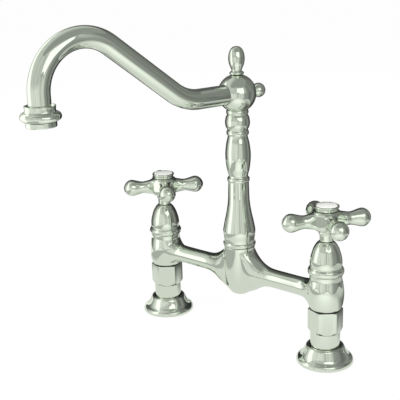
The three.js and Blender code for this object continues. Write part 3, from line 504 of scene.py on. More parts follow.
def polished_chrome(name, waviness):
    """Chrome over polished brass: a mirror with a faint wave, fine buffing lines and light haze."""
    material, nodes, shader, where = finish_of(name)
    shader.inputs["Metallic"].default_value = 1.0
    cast = nodes.noise(where, 35.0, 2.0)
    haze = nodes.noise(where, 260.0, 4.0)
    toned(nodes, shader, cast, (0.76, 0.81, 0.735), (0.79, 0.84, 0.765), haze, 0.02, 0.05)
    wave = bumped(nodes, shader, nodes.noise(where, 40.0, 1.0), waviness, 0.4 * MM)
    lines = lathe_lines(nodes, where, 260.0, 4200.0, 2.0)
    bumped(nodes, shader, lines, 0.05, 0.02 * MM, Normal=wave)
    return material


spun_chrome = polished_chrome("spun_chrome", waviness=0.12)
for side in SIDES:
    collar_low, collar_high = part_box(f"{side}_shank_collar")
    hole = (collar_high.x - collar_low.x) / 2 / MM + COLLAR_GAP
    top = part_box(f"{side}_flange")[1].z / MM
    bm = turned([
        [(26.2, 0.0), (26.95, 0.9), (27.0, 2.1), (26.5, 3.7), (25.4, 5.0), (23.8, 5.9)],
        [(22.7, 6.9), (21.6, 8.4), (20.5, 10.4), (19.4, 12.7), (18.5, 14.7), (17.7, top - 0.7),
         (16.9, top - 0.15), (16.0, top)],
        [(hole, top)],
        [(hole, top - 2.6)],
        [(16.1, top - 3.0), (16.9, 12.0), (18.6, 8.2), (21.5, 5.4), (23.4, 4.0)],
        [(23.4, 0.0)],
        [(26.2, 0.0)],
    ], steps=128)
    moved(bm, axis_of(f"{side}_flange"))
    made(bm, f"{side}_deck_flange", spun_chrome, "root", [f"{side}_flange"])

# ---- shank collars ---------------------------------------
# A plain chromed sleeve that screws down the shank and clamps the flange to the deck.

COLLAR_BORE = 10.7
turned_chrome = polished_chrome("turned_chrome", waviness=0.1)
for side in SIDES:
    low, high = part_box(f"{side}_shank_collar")
    height = (high.z - low.z) / MM
    radius = (high.x - low.x) / 2 / MM
    bm = turned(
        corners((COLLAR_BORE, 0.0), (radius, 0.0), (radius, height), (COLLAR_BORE, height)),
        foot=low.z, ease=0.35,
    )
    moved(bm, axis_of(f"{side}_shank_collar"))
    made(bm, f"{side}_collar", turned_chrome, "root", [f"{side}_shank_collar"])

# ---- union nuts ------------------------------------------
# A hexagon brass nut, chromed, that draws the bridge down on the shank's head over a rubber washer.
# Its foot is turned to a cone, and a black rubber ring lies in the gap above it.

NUT_TURN = math.radians(-19)
NUT_ACROSS_FLATS = 29.2
NUT_EDGE = 0.9  # radius on its upright edges
NUT_CONE = 3.8
NUT_RECESS = 1.2
NUT_BORE = 12.7
NUT_COUNTERBORE = 14.35
GAP_RING_INSIDE = 12.55
GAP_RING_OUTSIDE = 14.15


def taken_up(*blanks):
    """The finished shape of the first blank, as a bmesh; the blanks are cleared away."""
    shaped = blanks[0].evaluated_get(bpy.context.evaluated_depsgraph_get())
    bm = bmesh.new()
    bm.from_mesh(shaped.to_mesh())
    shaped.to_mesh_clear()
    for blank in blanks:
        mesh = blank.data
        bpy.data.objects.remove(blank)
        bpy.data.meshes.remove(mesh)
    return bm


def cut(piece_bm, tool_bm, operation):
    """One exact boolean between two closed meshes; the result is a new mesh."""
    piece, tool = placed(piece_bm, "blank"), placed(tool_bm, "blank")
    step = piece.modifiers.new("cut", "BOOLEAN")
    step.operation = operation
    step.solver = "EXACT"
    step.object = tool
    bm = taken_up(piece, tool)
    bmesh.ops.remove_doubles(bm, verts=bm.verts, dist=WELD)
    return bm


corner = NUT_ACROSS_FLATS / 2 / math.cos(math.pi / 6)
for side in SIDES:
    low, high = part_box(f"{side}_union_nut")
    height = (high.z - low.z) / MM
    hexagon = bmesh.new()  # longer than the nut, which the ring then cuts out of it
    bmesh.ops.create_cone(
        hexagon, cap_ends=True, segments=6, radius1=corner * MM, radius2=corner * MM,
        depth=(high.z - low.z) * 1.2,
    )
    uprights = [e for e in hexagon.edges if abs(e.verts[0].co.z - e.verts[1].co.z) > MM]
    bmesh.ops.bevel(
        hexagon, geom=uprights, offset=NUT_EDGE * MM, offset_type="OFFSET", segments=4,
        profile=0.5, affect="EDGES", material=-1,
    )
    rotated(hexagon, NUT_TURN - math.pi / 2)  # the cone's first corner is at +Y
    moved(hexagon, (0, 0, (low.z + high.z) / 2))
    ring = turned([
        [(COLLAR_BORE, 0.0), (14.5, 0.0)],
        [(corner + 0.3, NUT_CONE)],
        [(corner + 0.3, height - NUT_RECESS)],
        [(15.6, height), (NUT_COUNTERBORE, height)],
        [(NUT_COUNTERBORE, height - NUT_RECESS)],
        [(NUT_BORE, height - NUT_RECESS)],
        [(NUT_BORE, 3.2)],
        [(COLLAR_BORE, 3.2)],
        [(COLLAR_BORE, 0.0)],
    ], foot=low.z, steps=144)
    bm = cut(hexagon, ring, "INTERSECT")
    moved(bm, axis_of(f"{side}_shank_collar"))
    made(bm, f"{side}_nut", turned_chrome, "root", [f"{side}_union_nut"])
    bm = turned([
        [(GAP_RING_INSIDE, -1.0), (GAP_RING_OUTSIDE, -1.0)],
        [(GAP_RING_OUTSIDE, 0.3), (13.9, 0.8), (13.35, 1.0), (12.8, 0.8), (GAP_RING_INSIDE, 0.3)],
        [(GAP_RING_INSIDE, -1.0)],
    ], foot=high.z)
    moved(bm, axis_of(f"{side}_shank_collar"))
    made(bm, f"{side}_gap_ring", rubber, "root", [])

# ---- bridge ----------------------------------------------
# One brass casting, ground and chromed: two shaped valve bodies and a drop-shaped middle, joined by
# round arms that flare into them. The bores for the cartridges and for the swivel are turned in it.

ARM_RADIUS = 8.8
BARREL_SIDES = 16
BARREL_OUTSIDE = 20.0  # no wall that an arm leaves stands further out than this
SMOOTH_LEVELS = 3
SHARP = True


def cage(sides):
    """How much wider than a circle a cage of so many sides is, for its smoothed shape to be one."""
    return 1 / (2 / 3 + math.cos(math.tau / sides) / 3)


def barrel(bm, rings, centre_x=0.0):
    """The cage of one turned body. A ring marked SHARP keeps its edge when the cage is smoothed."""
    wider = cage(BARREL_SIDES)
    verts = [bm.verts.new((ring[0] * wider * MM, 0, ring[1] * MM)) for ring in rings]
    loops = list(zip(verts, verts[1:]))
    if rings[0][0] > 0:
        loops.append((verts[-1], verts[0]))
    edges = [bm.edges.new(pair) for pair in loops]
    before = set(bm.faces)
    bmesh.ops.spin(
        bm, geom=verts + edges, cent=(0, 0, 0), axis=(0, 0, 1),
        angle=2 * math.pi, steps=BARREL_SIDES, use_merge=True,
    )
    grown = [face for face in bm.faces if face not in before]
    crease = bm.edges.layers.float["crease_edge"]
    sharp = {(round(r * wider, 3), round(z, 3)) for r, z, *mark in rings if mark}
    for edge in {e for face in grown for e in face.edges}:
        ends = [(round(v.co.xy.length / MM, 3), round(v.co.z / MM, 3)) for v in edge.verts]
        if ends[0] == ends[1] and ends[0] in sharp:
            edge[crease] = 1.0
            edge.smooth = False
    own = {v for face in grown for v in face.verts}
    bmesh.ops.translate(bm, verts=list(own), vec=(centre_x, 0, 0))
    return grown


def window_in(bm, centre_x, side, low, high, spread=1.0, inner=12.0):
    """Opens a barrel's outer wall towards one arm and returns the edges round the opening."""
    inside = []
    for face in bm.faces:
        centre = face.calc_center_median() - Vector((centre_x, 0, 0))
        outer_wall = inner * MM < centre.xy.length < BARREL_OUTSIDE * MM
        ahead = spread * side * centre.x > abs(centre.y)
        if outer_wall and ahead and low * MM < centre.z < high * MM:
            inside.append(face)
    rim = {e for face in inside for e in face.edges}
    rim = [e for e in rim if sum(f in inside for f in e.link_faces) == 1]
    bmesh.ops.delete(bm, geom=inside, context="FACES")
    return [e for e in rim if e.is_valid]


def extruded(bm, rim):
    """Extrudes a loop of edges where it lies, and returns the new verts and the new loop."""
    grown = bmesh.ops.extrude_edge_only(bm, edges=rim)["geom"]
    verts = [g for g in grown if isinstance(g, bmesh.types.BMVert)]
    fresh = set(verts)
    return verts, [
        g for g in grown
        if isinstance(g, bmesh.types.BMEdge) and g.verts[0] in fresh and g.verts[1] in fresh
    ]


def drawn_out(bm, rim, side, height, stations, lift=1.0):
    """Draws an opening out along an arm, by stations of (distance, half height, half width)."""
    verts = list({v for e in rim for v in e.verts})
    wider = cage(len(verts)) * MM
    sector = math.tau / len(verts)
    tall = max(abs(v.co.z - height) for v in verts)
    wide = max(abs(v.co.y) for v in verts)
    for distance, half_height, half_width in stations:
        verts, rim = extruded(bm, rim)
        for v in verts:
            angle = math.atan2(lift * (v.co.z - height) / tall, v.co.y / wide)
            angle = round(angle / sector) * sector
            v.co = (
                side * distance * MM,
                half_width * wider * math.cos(angle),
                height + half_height * wider * math.sin(angle),
            )
        tall = half_height * wider
        wide = half_width * wider
    return rim


VALVE_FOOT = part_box("bridge_body")[0].z / MM
VALVE_RINGS = (
    (12.4, VALVE_FOOT, SHARP), (12.4, 54.6, SHARP), (14.5, 54.6), (15.05, 55.1), (15.6, 56.8),
    (16.25, 59.0), (16.95, 64.0), (17.2, 69.0), (16.9, 74.0), (16.1, 79.0),
    (15.5, 82.0), (15.05, 83.4), (15.0, 85.5), (15.0, 87.9), (14.7, 88.3),
    (10.6, 88.3, SHARP), (10.6, 62.0, SHARP),
    (6.5, 62.0, SHARP), (6.5, VALVE_FOOT, SHARP),
)
VALVE_WINDOW = (59.0, 79.0)
MIDDLE_RINGS = (
    (0.0, 43.3), (4.6, 43.7), (8.0, 45.2), (10.6, 47.5), (14.6, 57.5), (15.8, 69.0),
    (15.75, 80.5), (15.4, 90.5), (15.3, 93.4), (15.3, 94.9), (15.0, 95.3), (12.7, 95.3, SHARP),
    (12.7, 86.7, SHARP), (10.2, 86.7, SHARP), (10.2, 86.1, SHARP), (11.4, 86.1, SHARP),
    (11.4, 84.1, SHARP), (10.2, 84.1, SHARP), (10.2, 60.0, SHARP), (0.0, 60.0),
)
MIDDLE_WINDOW = (47.5, 90.5)
ARM_STATIONS = (
    # distance from the middle, half height, half width
    (20.0, 17.6, 12.4), (26.0, 13.1, 10.8), (32.0, 10.3, 9.7), (38.0, 8.9, 8.9),
    (48.0, ARM_RADIUS, ARM_RADIUS), (66.0, ARM_RADIUS, ARM_RADIUS),
    (75.5, ARM_RADIUS, ARM_RADIUS), (81.5, 9.3, 9.4),
)

middle = axis_of("column")
half_span = (axis_of("cold_flange").x - axis_of("hot_flange").x) / 2
ARM_HEIGHT = 69.0 * MM
bm = bmesh.new()
bm.edges.layers.float.new("crease_edge")
barrel(bm, MIDDLE_RINGS)
for side in (-1, 1):
    barrel(bm, VALVE_RINGS, side * half_span)
bmesh.ops.remove_doubles(bm, verts=bm.verts, dist=WELD)
for side in (-1, 1):
    opening = window_in(bm, 0.0, side, *MIDDLE_WINDOW)
    arm_end = drawn_out(bm, opening, side, ARM_HEIGHT, ARM_STATIONS)
    mouth = window_in(bm, side * half_span, -side, *VALVE_WINDOW)
    bmesh.ops.bridge_loops(bm, edges=arm_end + mouth)
bmesh.ops.recalc_face_normals(bm, faces=bm.faces)
moved(bm, middle)

for face in bm.faces:
    face.smooth = True
bridge = placed(bm, "bridge_casting", polished_chrome("cast_chrome", waviness=0.25))
smoothing = bridge.modifiers.new("smoothing", "SUBSURF")
smoothing.levels = smoothing.render_levels = SMOOTH_LEVELS
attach(bridge, "root")
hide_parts("bridge_body")

# ---- cartridges ------------------------------------------
# Each valve body holds a quarter-turn cartridge on a rubber seal: a brass barrel with two lapped
# ceramic discs, the lower one fixed and the upper one turned by the stem. All of it is hidden.


def lapped_ceramic():
    """Dense white ceramic, ground flat: nearly even, with the ghost of the lapping marks."""
    material, nodes, shader, where = finish_of("lapped_ceramic")
    cloud = nodes.noise(where, 300.0, 3.0)
    toned(nodes, shader, cloud, (0.80, 0.79, 0.76), (0.86, 0.85, 0.83), cloud, 0.2, 0.15)
    return material


ceramic = lapped_ceramic()
for side in SIDES:
    finished_as(rubber, f"{side}_seat_seal")
    finished_as(brass, f"{side}_cartridge_body")
    finished_as(ceramic, f"{side}_fixed_disc", f"{side}_turning_disc")

# ---- bonnets ---------------------------------------------
# A turned brass dome, chromed, that screws down over the cartridge: a round ring at its foot, a
# short straight wall, and a shoulder that closes round the stem under the handle.

for side in SIDES:
    low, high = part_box(f"{side}_bonnet")
    top = (high.z - low.z) / MM
    bm = turned([
        [(15.5, 0.0), (16.3, 0.6), (16.75, 2.0), (16.8, 3.3), (16.5, 4.7), (15.9, 5.7),
         (15.1, 6.3)],
        [(14.9, 6.9), (14.95, 9.5), (14.9, 12.2), (14.3, 16.6), (13.1, 20.9), (11.7, 24.9),
         (9.9, 28.1), (8.5, 30.0), (7.2, top - 0.2)],
        [(6.9, top)],
        [(4.5, top)],
        [(4.5, 25.2)],
        [(8.8, 23.6)],
        [(10.1, 20.0), (13.0, 12.2), (13.1, 4.7)],
        [(13.1, 0.0)],
        [(15.5, 0.0)],
    ], foot=low.z, steps=112)
    moved(bm, axis_of(f"{side}_bonnet"))
    made(bm, f"{side}_dome", spun_chrome, "root", [f"{side}_bonnet"])

# ---- valve stems -----------------------------------------
# A turned brass stem with a rubber ring in its groove runs up through the cartridge and the bonnet
# and carries the handle. It turns with the handle and can't be seen.

for side in SIDES:
    finished_as(brass, f"{side}_valve_stem")
    finished_as(rubber, f"{side}_stem_ring")

# ---- cross handles ---------------------------------------
# A chromed brass casting: a round skirt and a full hub that runs out into four waisted arms with
# ball ends, and a flat ground on the hub between each two arms. It sits on the stem by a spline.

HANDLE_TURN = {"hot": math.radians(-40.4), "cold": math.radians(-38.1)}
ARM_RISE = 19.6
FACE_RADIUS = 7.6
FACE_HEIGHT = 0.68  # of its width
FACE_REACH = 12.0
FACE_RISE = 1.2  # above the arms
HANDLE_RINGS = (
    (4.5, 0.0, SHARP), (6.05, 0.0), (6.3, 0.3), (6.3, 6.2), (6.5, 6.5), (7.2, 6.9), (7.4, 8.0),
    (7.1, 9.1), (6.9, 9.6), (8.6, 9.9), (10.5, 10.8), (11.9, 12.2), (13.15, 15.9), (13.45, 19.6),
    (13.4, 23.3), (12.9, 27.0), (12.2, 28.3), (11.2, 28.9), (6.1, 28.9, SHARP), (6.1, 23.6, SHARP),
    (1.9, 23.6, SHARP), (1.9, 21.2, SHARP), (4.5, 21.2, SHARP),
)
HANDLE_WINDOW = (12.2, 27.0)
HANDLE_ARM = (
    (17.2, 6.9), (20.4, 6.1), (23.4, 6.2), (26.4, 6.9), (29.4, 7.8), (32.0, 8.5), (34.5, 8.75),
    (37.0, 8.0), (39.5, 6.2), (41.4, 3.5),
)
HANDLE_REACH = 42.6
FLAT_TOLERANCE = 1e-4


def laid_along_x(bm, height):
    """Lays a turned piece down, so that its own axis points along +X at a height."""
    return moved(rotated(bm, math.pi / 2, "Y"), (0, 0, height))


def quarter_turns(bm, start=0.0):
    """Four copies of a piece, a quarter turn apart."""
    rotated(bm, start)
    first = list(bm.verts) + list(bm.edges) + list(bm.faces)
    for quarter in (1, 2, 3):
        copy = bmesh.ops.duplicate(bm, geom=first)["geom"]
        verts = [g for g in copy if isinstance(g, bmesh.types.BMVert)]
        bmesh.ops.rotate(bm, verts=verts, matrix=Matrix.Rotation(quarter * math.pi / 2, 3, "Z"))
    return bm


def smoothed(bm):
    """The smooth surface that a cage stands for."""
    draft = placed(bm, "cage")
    smoothing = draft.modifiers.new("smoothing", "SUBSURF")
    smoothing.levels = smoothing.render_levels = SMOOTH_LEVELS
    return taken_up(draft)


def is_ground(face):
    """Whether a face is part of one of the four flats, which stand upright on the diagonals."""
    x, y, z = (abs(part) for part in face.normal)
    return abs(max(x, y) - math.sqrt(0.5)) < FLAT_TOLERANCE and z < FLAT_TOLERANCE


handle_chrome = polished_chrome("handle_chrome", waviness=0.2)
for side in SIDES:
    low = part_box(f"{side}_cross_handle")[0]
    bm = bmesh.new()
    bm.edges.layers.float.new("crease_edge")
    barrel(bm, HANDLE_RINGS)
    bmesh.ops.remove_doubles(bm, verts=bm.verts, dist=WELD)
    stations = [(distance, radius, radius) for distance, radius in HANDLE_ARM]
    for quarter in range(4):
        rim = window_in(bm, 0.0, 1, *HANDLE_WINDOW, spread=0.4, inner=9.0)
        rim = drawn_out(bm, rim, 1, ARM_RISE * MM, stations, lift=1.3)
        tip = extruded(bm, rim)[0]
        bmesh.ops.pointmerge(bm, verts=tip, merge_co=Vector((HANDLE_REACH, 0.0, ARM_RISE)) * MM)
        rotated(bm, math.pi / 2)
    bmesh.ops.recalc_face_normals(bm, faces=bm.faces)
    bm = smoothed(bm)
    grinder = turned([
        [(0.0, FACE_REACH), (FACE_RADIUS, FACE_REACH)], [(FACE_RADIUS, 20.0)], [(0.0, 20.0)],
    ], steps=64, ease=0)
    bmesh.ops.scale(grinder, verts=grinder.verts, vec=(FACE_HEIGHT, 1.0, 1.0))
    grinder = quarter_turns(laid_along_x(grinder, (ARM_RISE + FACE_RISE) * MM), math.pi / 4)
    bm = cut(bm, grinder, "DIFFERENCE")
    for edge in bm.edges:
        edge.smooth = sum(is_ground(face) for face in edge.link_faces) != 1
    rotated(bm, HANDLE_TURN[side])
    moved(bm, axis_of(f"{side}_flange") + Vector((0, 0, low.z)))
    made(bm, f"{side}_cross", handle_chrome, f"{side}_handle", [f"{side}_cross_handle"])

# ---- handle screws ---------------------------------------
# A slotted stainless screw holds each handle down on its stem, under the index button.


def plain_steel():
    """Stainless steel as turned: grey, with fine rings and a soft sheen."""
    material, nodes, shader, where = finish_of("plain_steel")
    shader.inputs["Metallic"].default_value = 1.0
    rings = lathe_lines(nodes, where, 60.0, 3000.0)
    toned(nodes, shader, rings, (0.56, 0.57, 0.58), (0.66, 0.67, 0.68), rings, 0.25, 0.15)
    return material


steel = plain_steel()
for side in SIDES:
    finished_as(steel, f"{side}_handle_screw")

# ---- index bezels ----------------------------------------
# A turned chrome ring round the index button, narrow at the foot, with a rounded lip on top.

for side in SIDES:
    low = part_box(f"{side}_index_bezel")[0]
    bm = turned([
        [(10.2, 0.0), (10.3, 0.0)],
        [(10.6, 0.3)],
        [(10.6, 1.9), (10.9, 2.5), (11.35, 3.1), (11.4, 3.7), (11.1, 4.4), (10.6, 4.7)],
        [(10.2, 4.6)],
        [(10.2, 0.0)],
    ], foot=low.z, ease=0.08)
    moved(bm, axis_of(f"{side}_flange"))
    made(bm, f"{side}_bezel", handle_chrome, f"{side}_handle", [f"{side}_index_bezel"])

# ---- index buttons ---------------------------------------
# A white enamelled disc with a low crown presses into the bezel. The plain words HOT and COLD are
# fired on it in small dark letters, in an arc near the rim on the side away from the sink.

BUTTON_RADIUS = 9.9
BUTTON_CROWN = 0.7
LETTER_SIZE = 3.1
LETTER_WEIGHT = 0.12
LETTER_HALF_DEPTH = 0.05
LETTER_LIFT = 0.1  # above the enamel
LETTER_RADIUS = 7.0
LETTER_PITCH = math.radians(21)


def white_enamel():
    """Fired white enamel: glossy, very slightly uneven, with a faint warm tint."""
    material, nodes, shader, where = finish_of("white_enamel")
    shader.inputs["Coat Weight"].default_value = 0.6
    shader.inputs["Coat Roughness"].default_value = 0.06
    pool = nodes.noise(where, 220.0, 2.0)
    toned(nodes, shader, pool, (0.93, 0.93, 0.90), (0.96, 0.96, 0.94), pool, 0.15, 0.1)
    bumped(nodes, shader, pool, 0.1, 0.1 * MM)
    return material


def letter_enamel():
    """Dark fired lettering, a little worn and uneven in tone."""
    material, nodes, shader, where = finish_of("letter_enamel")
    worn = nodes.noise(where, 1500.0, 3.0)
    toned(nodes, shader, worn, (0.03, 0.035, 0.03), (0.16, 0.17, 0.15), worn, 0.25, 0.2)
    return material


enamel = white_enamel()
ink = letter_enamel()
for side in SIDES:
    low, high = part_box(f"{side}_index_button")
    top = (high.z - low.z) / MM
    rim = top - BUTTON_CROWN
    bm = turned([
        [(0.0, 0.0), (5.8, 0.0)],
        [(5.8, rim - 4.0)],
        [(BUTTON_RADIUS, rim - 4.0)],
        [(BUTTON_RADIUS, rim - 0.3)],
        [(9.4, rim + 0.1), (7.5, rim + 0.35), (4.5, rim + 0.58), (0.0, top)],
    ], foot=low.z)
    moved(bm, axis_of(f"{side}_flange"))
    made(bm, f"{side}_button", enamel, f"{side}_handle", [f"{side}_index_button"])

    lettering = bmesh.new()
    word = side.upper()
    for place, letter in enumerate(word):
        curve = bpy.data.curves.new("letter", "FONT")
        curve.body = letter
        curve.size = LETTER_SIZE * MM
        curve.extrude = LETTER_HALF_DEPTH * MM
        curve.offset = LETTER_WEIGHT * MM
        curve.align_x = "CENTER"
        stamp = bpy.data.objects.new("letter", curve)
        bpy.context.scene.collection.objects.link(stamp)
        shape = stamp.evaluated_get(bpy.context.evaluated_depsgraph_get()).to_mesh()
        turn = ((len(word) - 1) / 2 - place) * LETTER_PITCH + CAMERA_AZIMUTH
        shape.transform(
            Matrix.Rotation(turn, 4, "Z") @ Matrix.Translation((0, LETTER_RADIUS * MM, 0))
        )
        lettering.from_mesh(shape)
        stamp.evaluated_get(bpy.context.evaluated_depsgraph_get()).to_mesh_clear()
        bpy.data.objects.remove(stamp)
    for v in lettering.verts:
        crown = BUTTON_CROWN * (1 - (v.co.xy.length / (BUTTON_RADIUS * MM)) ** 2)
        v.co.z += high.z + (crown - BUTTON_CROWN + LETTER_LIFT) * MM
    moved(lettering, axis_of(f"{side}_flange"))
    piece = placed(lettering, f"{side}_lettering", ink)
    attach(piece, f"{side}_handle")

# ---- swivel bush and snap ring ---------------------------
# The column's spigot turns in a white acetal bush pressed into the bridge, and a steel spring ring
# under it keeps the column down. Two rubber rings lower on the spigot hold the water.


def white_acetal():
    """Natural acetal: a waxy white with a soft sheen and fine clouding."""
    material, nodes, shader, where = finish_of("white_acetal")
    shader.inputs["Subsurface Weight"].default_value = 0.1
    haze = nodes.noise(where, 400.0, 3.0)
    toned(nodes, shader, haze, (0.70, 0.70, 0.67), (0.78, 0.78, 0.75), haze, 0.35, 0.2)
    return material


acetal = white_acetal()
finished_as(acetal, "swivel_bush")
finished_as(steel, "spout_snap_ring")
finished_as(rubber, "lower_swivel_ring", "upper_swivel_ring")

# ---- column ----------------------------------------------
# Turned from brass bar and chromed: a ringed foot and a long belly, a waist ring, a slender
# baluster, a neck ring, a bulb and a top ring. The spout's water rises through its bore.

SPIGOT_RADIUS = 9.4
SPIGOT_BORE = 5.0
GROOVE_RADIUS = 7.2
GROOVE_HALF = 1.5
RING_HEIGHTS = (2.7, 6.5)
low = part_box("column")[0]
column_chrome = polished_chrome("column_chrome", waviness=0.12)
runs = [[(SPIGOT_BORE, 0.0), (SPIGOT_RADIUS, 0.0)]]
for ring_height in RING_HEIGHTS:
    runs += [
        [(SPIGOT_RADIUS, ring_height - GROOVE_HALF)], [(GROOVE_RADIUS, ring_height - GROOVE_HALF)],
        [(GROOVE_RADIUS, ring_height + GROOVE_HALF)], [(SPIGOT_RADIUS, ring_height + GROOVE_HALF)],
    ]
runs += [
    [(SPIGOT_RADIUS, 9.1)], [(8.0, 9.1)], [(8.0, 11.1)], [(SPIGOT_RADIUS, 11.1)],
    [(SPIGOT_RADIUS, 20.6)],
    [(15.3, 20.6)],
    [(15.9, 21.1), (16.2, 22.3), (16.1, 23.5), (15.6, 24.4), (15.1, 24.8)],
    [(15.1, 25.4), (15.3, 28.5), (15.75, 31.2), (16.05, 34.2), (15.95, 37.2), (15.3, 40.6),
     (14.4, 45.4), (13.05, 51.4), (11.75, 58.5), (10.8, 65.6), (10.4, 74.5), (10.2, 85.6)],
    [(10.2, 86.0)],
    [(10.75, 86.5), (10.95, 87.4), (10.95, 88.9), (10.6, 89.9), (9.9, 90.3)],
    [(9.5, 91.2), (9.9, 94.2), (11.0, 98.2), (11.85, 104.0), (12.3, 109.5), (12.3, 115.5),
     (11.8, 120.2), (11.0, 125.3), (10.1, 129.0), (9.55, 131.8)],
    [(9.7, 132.3)],
    [(10.5, 132.7), (10.8, 133.8), (10.8, 135.3), (10.4, 136.4), (9.8, 136.9)],
    [(9.8, 137.4)],
    [(10.6, 138.8), (11.6, 141.2), (12.0, 144.4), (11.7, 147.6), (10.8, 150.6), (9.9, 152.1)],
    [(9.9, 152.5)],
    [(10.4, 152.9), (10.7, 154.0), (10.7, 155.3), (10.3, 156.4), (9.8, 156.9)],
    [(7.5, 156.9)], [(7.5, 161.0)], [(SPIGOT_BORE, 161.0)], [(SPIGOT_BORE, 0.0)],
]
bm = moved(turned(runs, foot=low.z), middle)
made(bm, "turned_column", column_chrome, "spout", ["column"])

# ---- ball ------------------------------------------------
# A brass ball, chromed, brazed on the column's spigot. It is bored for the spout tube in front, the
# knob's stud behind and the finial's stud on top.

BALL_CENTRE_RISE = 15.0
SEAT_RADIUS = 5.4
SOCKET_RADIUS = 9.75
STUD_HOLE_RADIUS = 2.9
ARC_STEPS = 12
low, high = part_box("spout_ball")
ball_radius = (high.x - low.x) / 2 / MM
ball_centre = low.z / MM + BALL_CENTRE_RISE
outlet = axis_of("aerator_collar")
heading = (outlet - middle).normalized()
spout_angle = math.atan2(heading.x, -heading.y)


def laid_along_spout(bm):
    """Lays a turned piece down at the ball's height, so that its axis points the spout's way."""
    rotated(rotated(bm, math.pi / 2, "X"), spout_angle)
    return moved(bm, middle + Vector((0, 0, ball_centre * MM)))


def on_ball(angle):
    turn = math.radians(angle)
    return ball_radius * math.cos(turn), BALL_CENTRE_RISE + ball_radius * math.sin(turn)


foot_angle = math.degrees(math.asin(-BALL_CENTRE_RISE / ball_radius))
seat_angle = math.degrees(math.acos(SEAT_RADIUS / ball_radius))
arc = [foot_angle + (seat_angle - foot_angle) * k / ARC_STEPS for k in range(ARC_STEPS + 1)]
seat = on_ball(seat_angle)[1]
bm = turned([
    [(0.0, BALL_CENTRE_RISE + 2.0), (5.0, BALL_CENTRE_RISE + 2.0)],
    [(5.0, 4.1)], [(7.8, 4.1)], [(7.8, 0.0)],
    [on_ball(foot_angle)],
    [on_ball(angle) for angle in arc[1:]],
    [(3.3, seat)], [(3.3, seat - 6.8)], [(0.0, seat - 6.8)],
], foot=low.z, steps=128)
moved(bm, middle)
for wide, start, end, steps in (
    (SOCKET_RADIUS, 4.7, 30.0, 96), (STUD_HOLE_RADIUS, -30.0, -8.4, 48),
):
    drill = turned(
        [[(0.0, start), (wide, start)], [(wide, end)], [(0.0, end)]], steps=steps, ease=0,
    )
    bm = cut(bm, laid_along_spout(drill), "DIFFERENCE")
made(bm, "ball", column_chrome, "spout", ["spout_ball"])

# ---- finial ----------------------------------------------
# A turned brass acorn, chromed, screwed into the ball by its stud: a ring, a short neck and an egg.

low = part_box("finial")[0]
bm = turned([
    [(0.0, 0.0), (3.0, 0.0)],
    [(3.0, 6.5)],
    [(5.6, 6.5)],
    [(6.5, 6.9), (6.9, 7.8), (6.6, 8.8), (5.6, 9.4)],
    [(5.0, 9.8), (4.9, 10.7), (5.5, 12.4), (6.7, 15.2), (7.5, 18.3), (7.75, 21.6), (7.4, 25.4),
     (6.3, 28.9), (4.4, 31.4), (2.2, 32.6), (0.0, 32.9)],
], foot=low.z)
moved(bm, middle)
made(bm, "acorn", column_chrome, "spout", ["finial"])

# ---- rear knob -------------------------------------------
# A small chromed brass ball on a short neck, screwed into the back of the big ball.

KNOB_REACH = 26.5
KNOB_RADIUS = 7.0
knob_arc = [
    (KNOB_RADIUS * math.cos(math.radians(a)), -KNOB_REACH - KNOB_RADIUS * math.sin(math.radians(a)))
    for a in (-53, -30, 0, 30, 60, 80)
]
bm = turned([
    [(0.0, -8.7), (2.6, -8.7)],
    [(2.6, -18.7)],
    [(4.4, -18.7)],
    [(4.25, -20.2), knob_arc[0]],
    [*knob_arc[1:], (0.0, -KNOB_REACH - KNOB_RADIUS)],
])
made(laid_along_spout(bm), "back_knob", column_chrome, "spout", ["rear_knob"])

# ---- spout tube ------------------------------------------
# 19 mm brass tube, bent cold, polished and chromed. It leaves the ball level, rises on a slope and
# turns down in a wide crook to the aerator.

TUBE_RADIUS = 9.5
TUBE_INSIDE = 7.8
TUBE_START = 5.0
TUBE_END_RISE = 7.1  # above the ball's centre
LEVEL_END = 45.0
RISE_RADIUS = 48.0
RISE_ANGLE = math.radians(37)
CROOK_RADIUS = 42.5
TUBE_SIDES = 64
BEND_STEP = math.radians(2.5)

reach = (outlet - middle).length / MM
bends = LEVEL_END + RISE_RADIUS * math.sin(RISE_ANGLE) + CROOK_RADIUS * (1 + math.sin(RISE_ANGLE))
slope = (reach - bends) / math.cos(RISE_ANGLE)
tube_end = ball_centre + TUBE_END_RISE
bm = bmesh.new()


def spout_point(distance, height):
    return Vector((0.0, -distance, height)) * MM


def straight(loop, move):
    verts, loop = extruded(bm, loop)
    bmesh.ops.translate(bm, verts=verts, vec=move)
    return loop


def bent(loop, centre, angle):
    steps = round(abs(angle) / BEND_STEP)
    verts = list({v for e in loop for v in e.verts})
    last = bmesh.ops.spin(
        bm, geom=verts + loop, cent=centre, axis=(1, 0, 0),
        angle=angle, steps=steps, use_merge=False,
    )["geom_last"]
    return [g for g in last if isinstance(g, bmesh.types.BMEdge)]


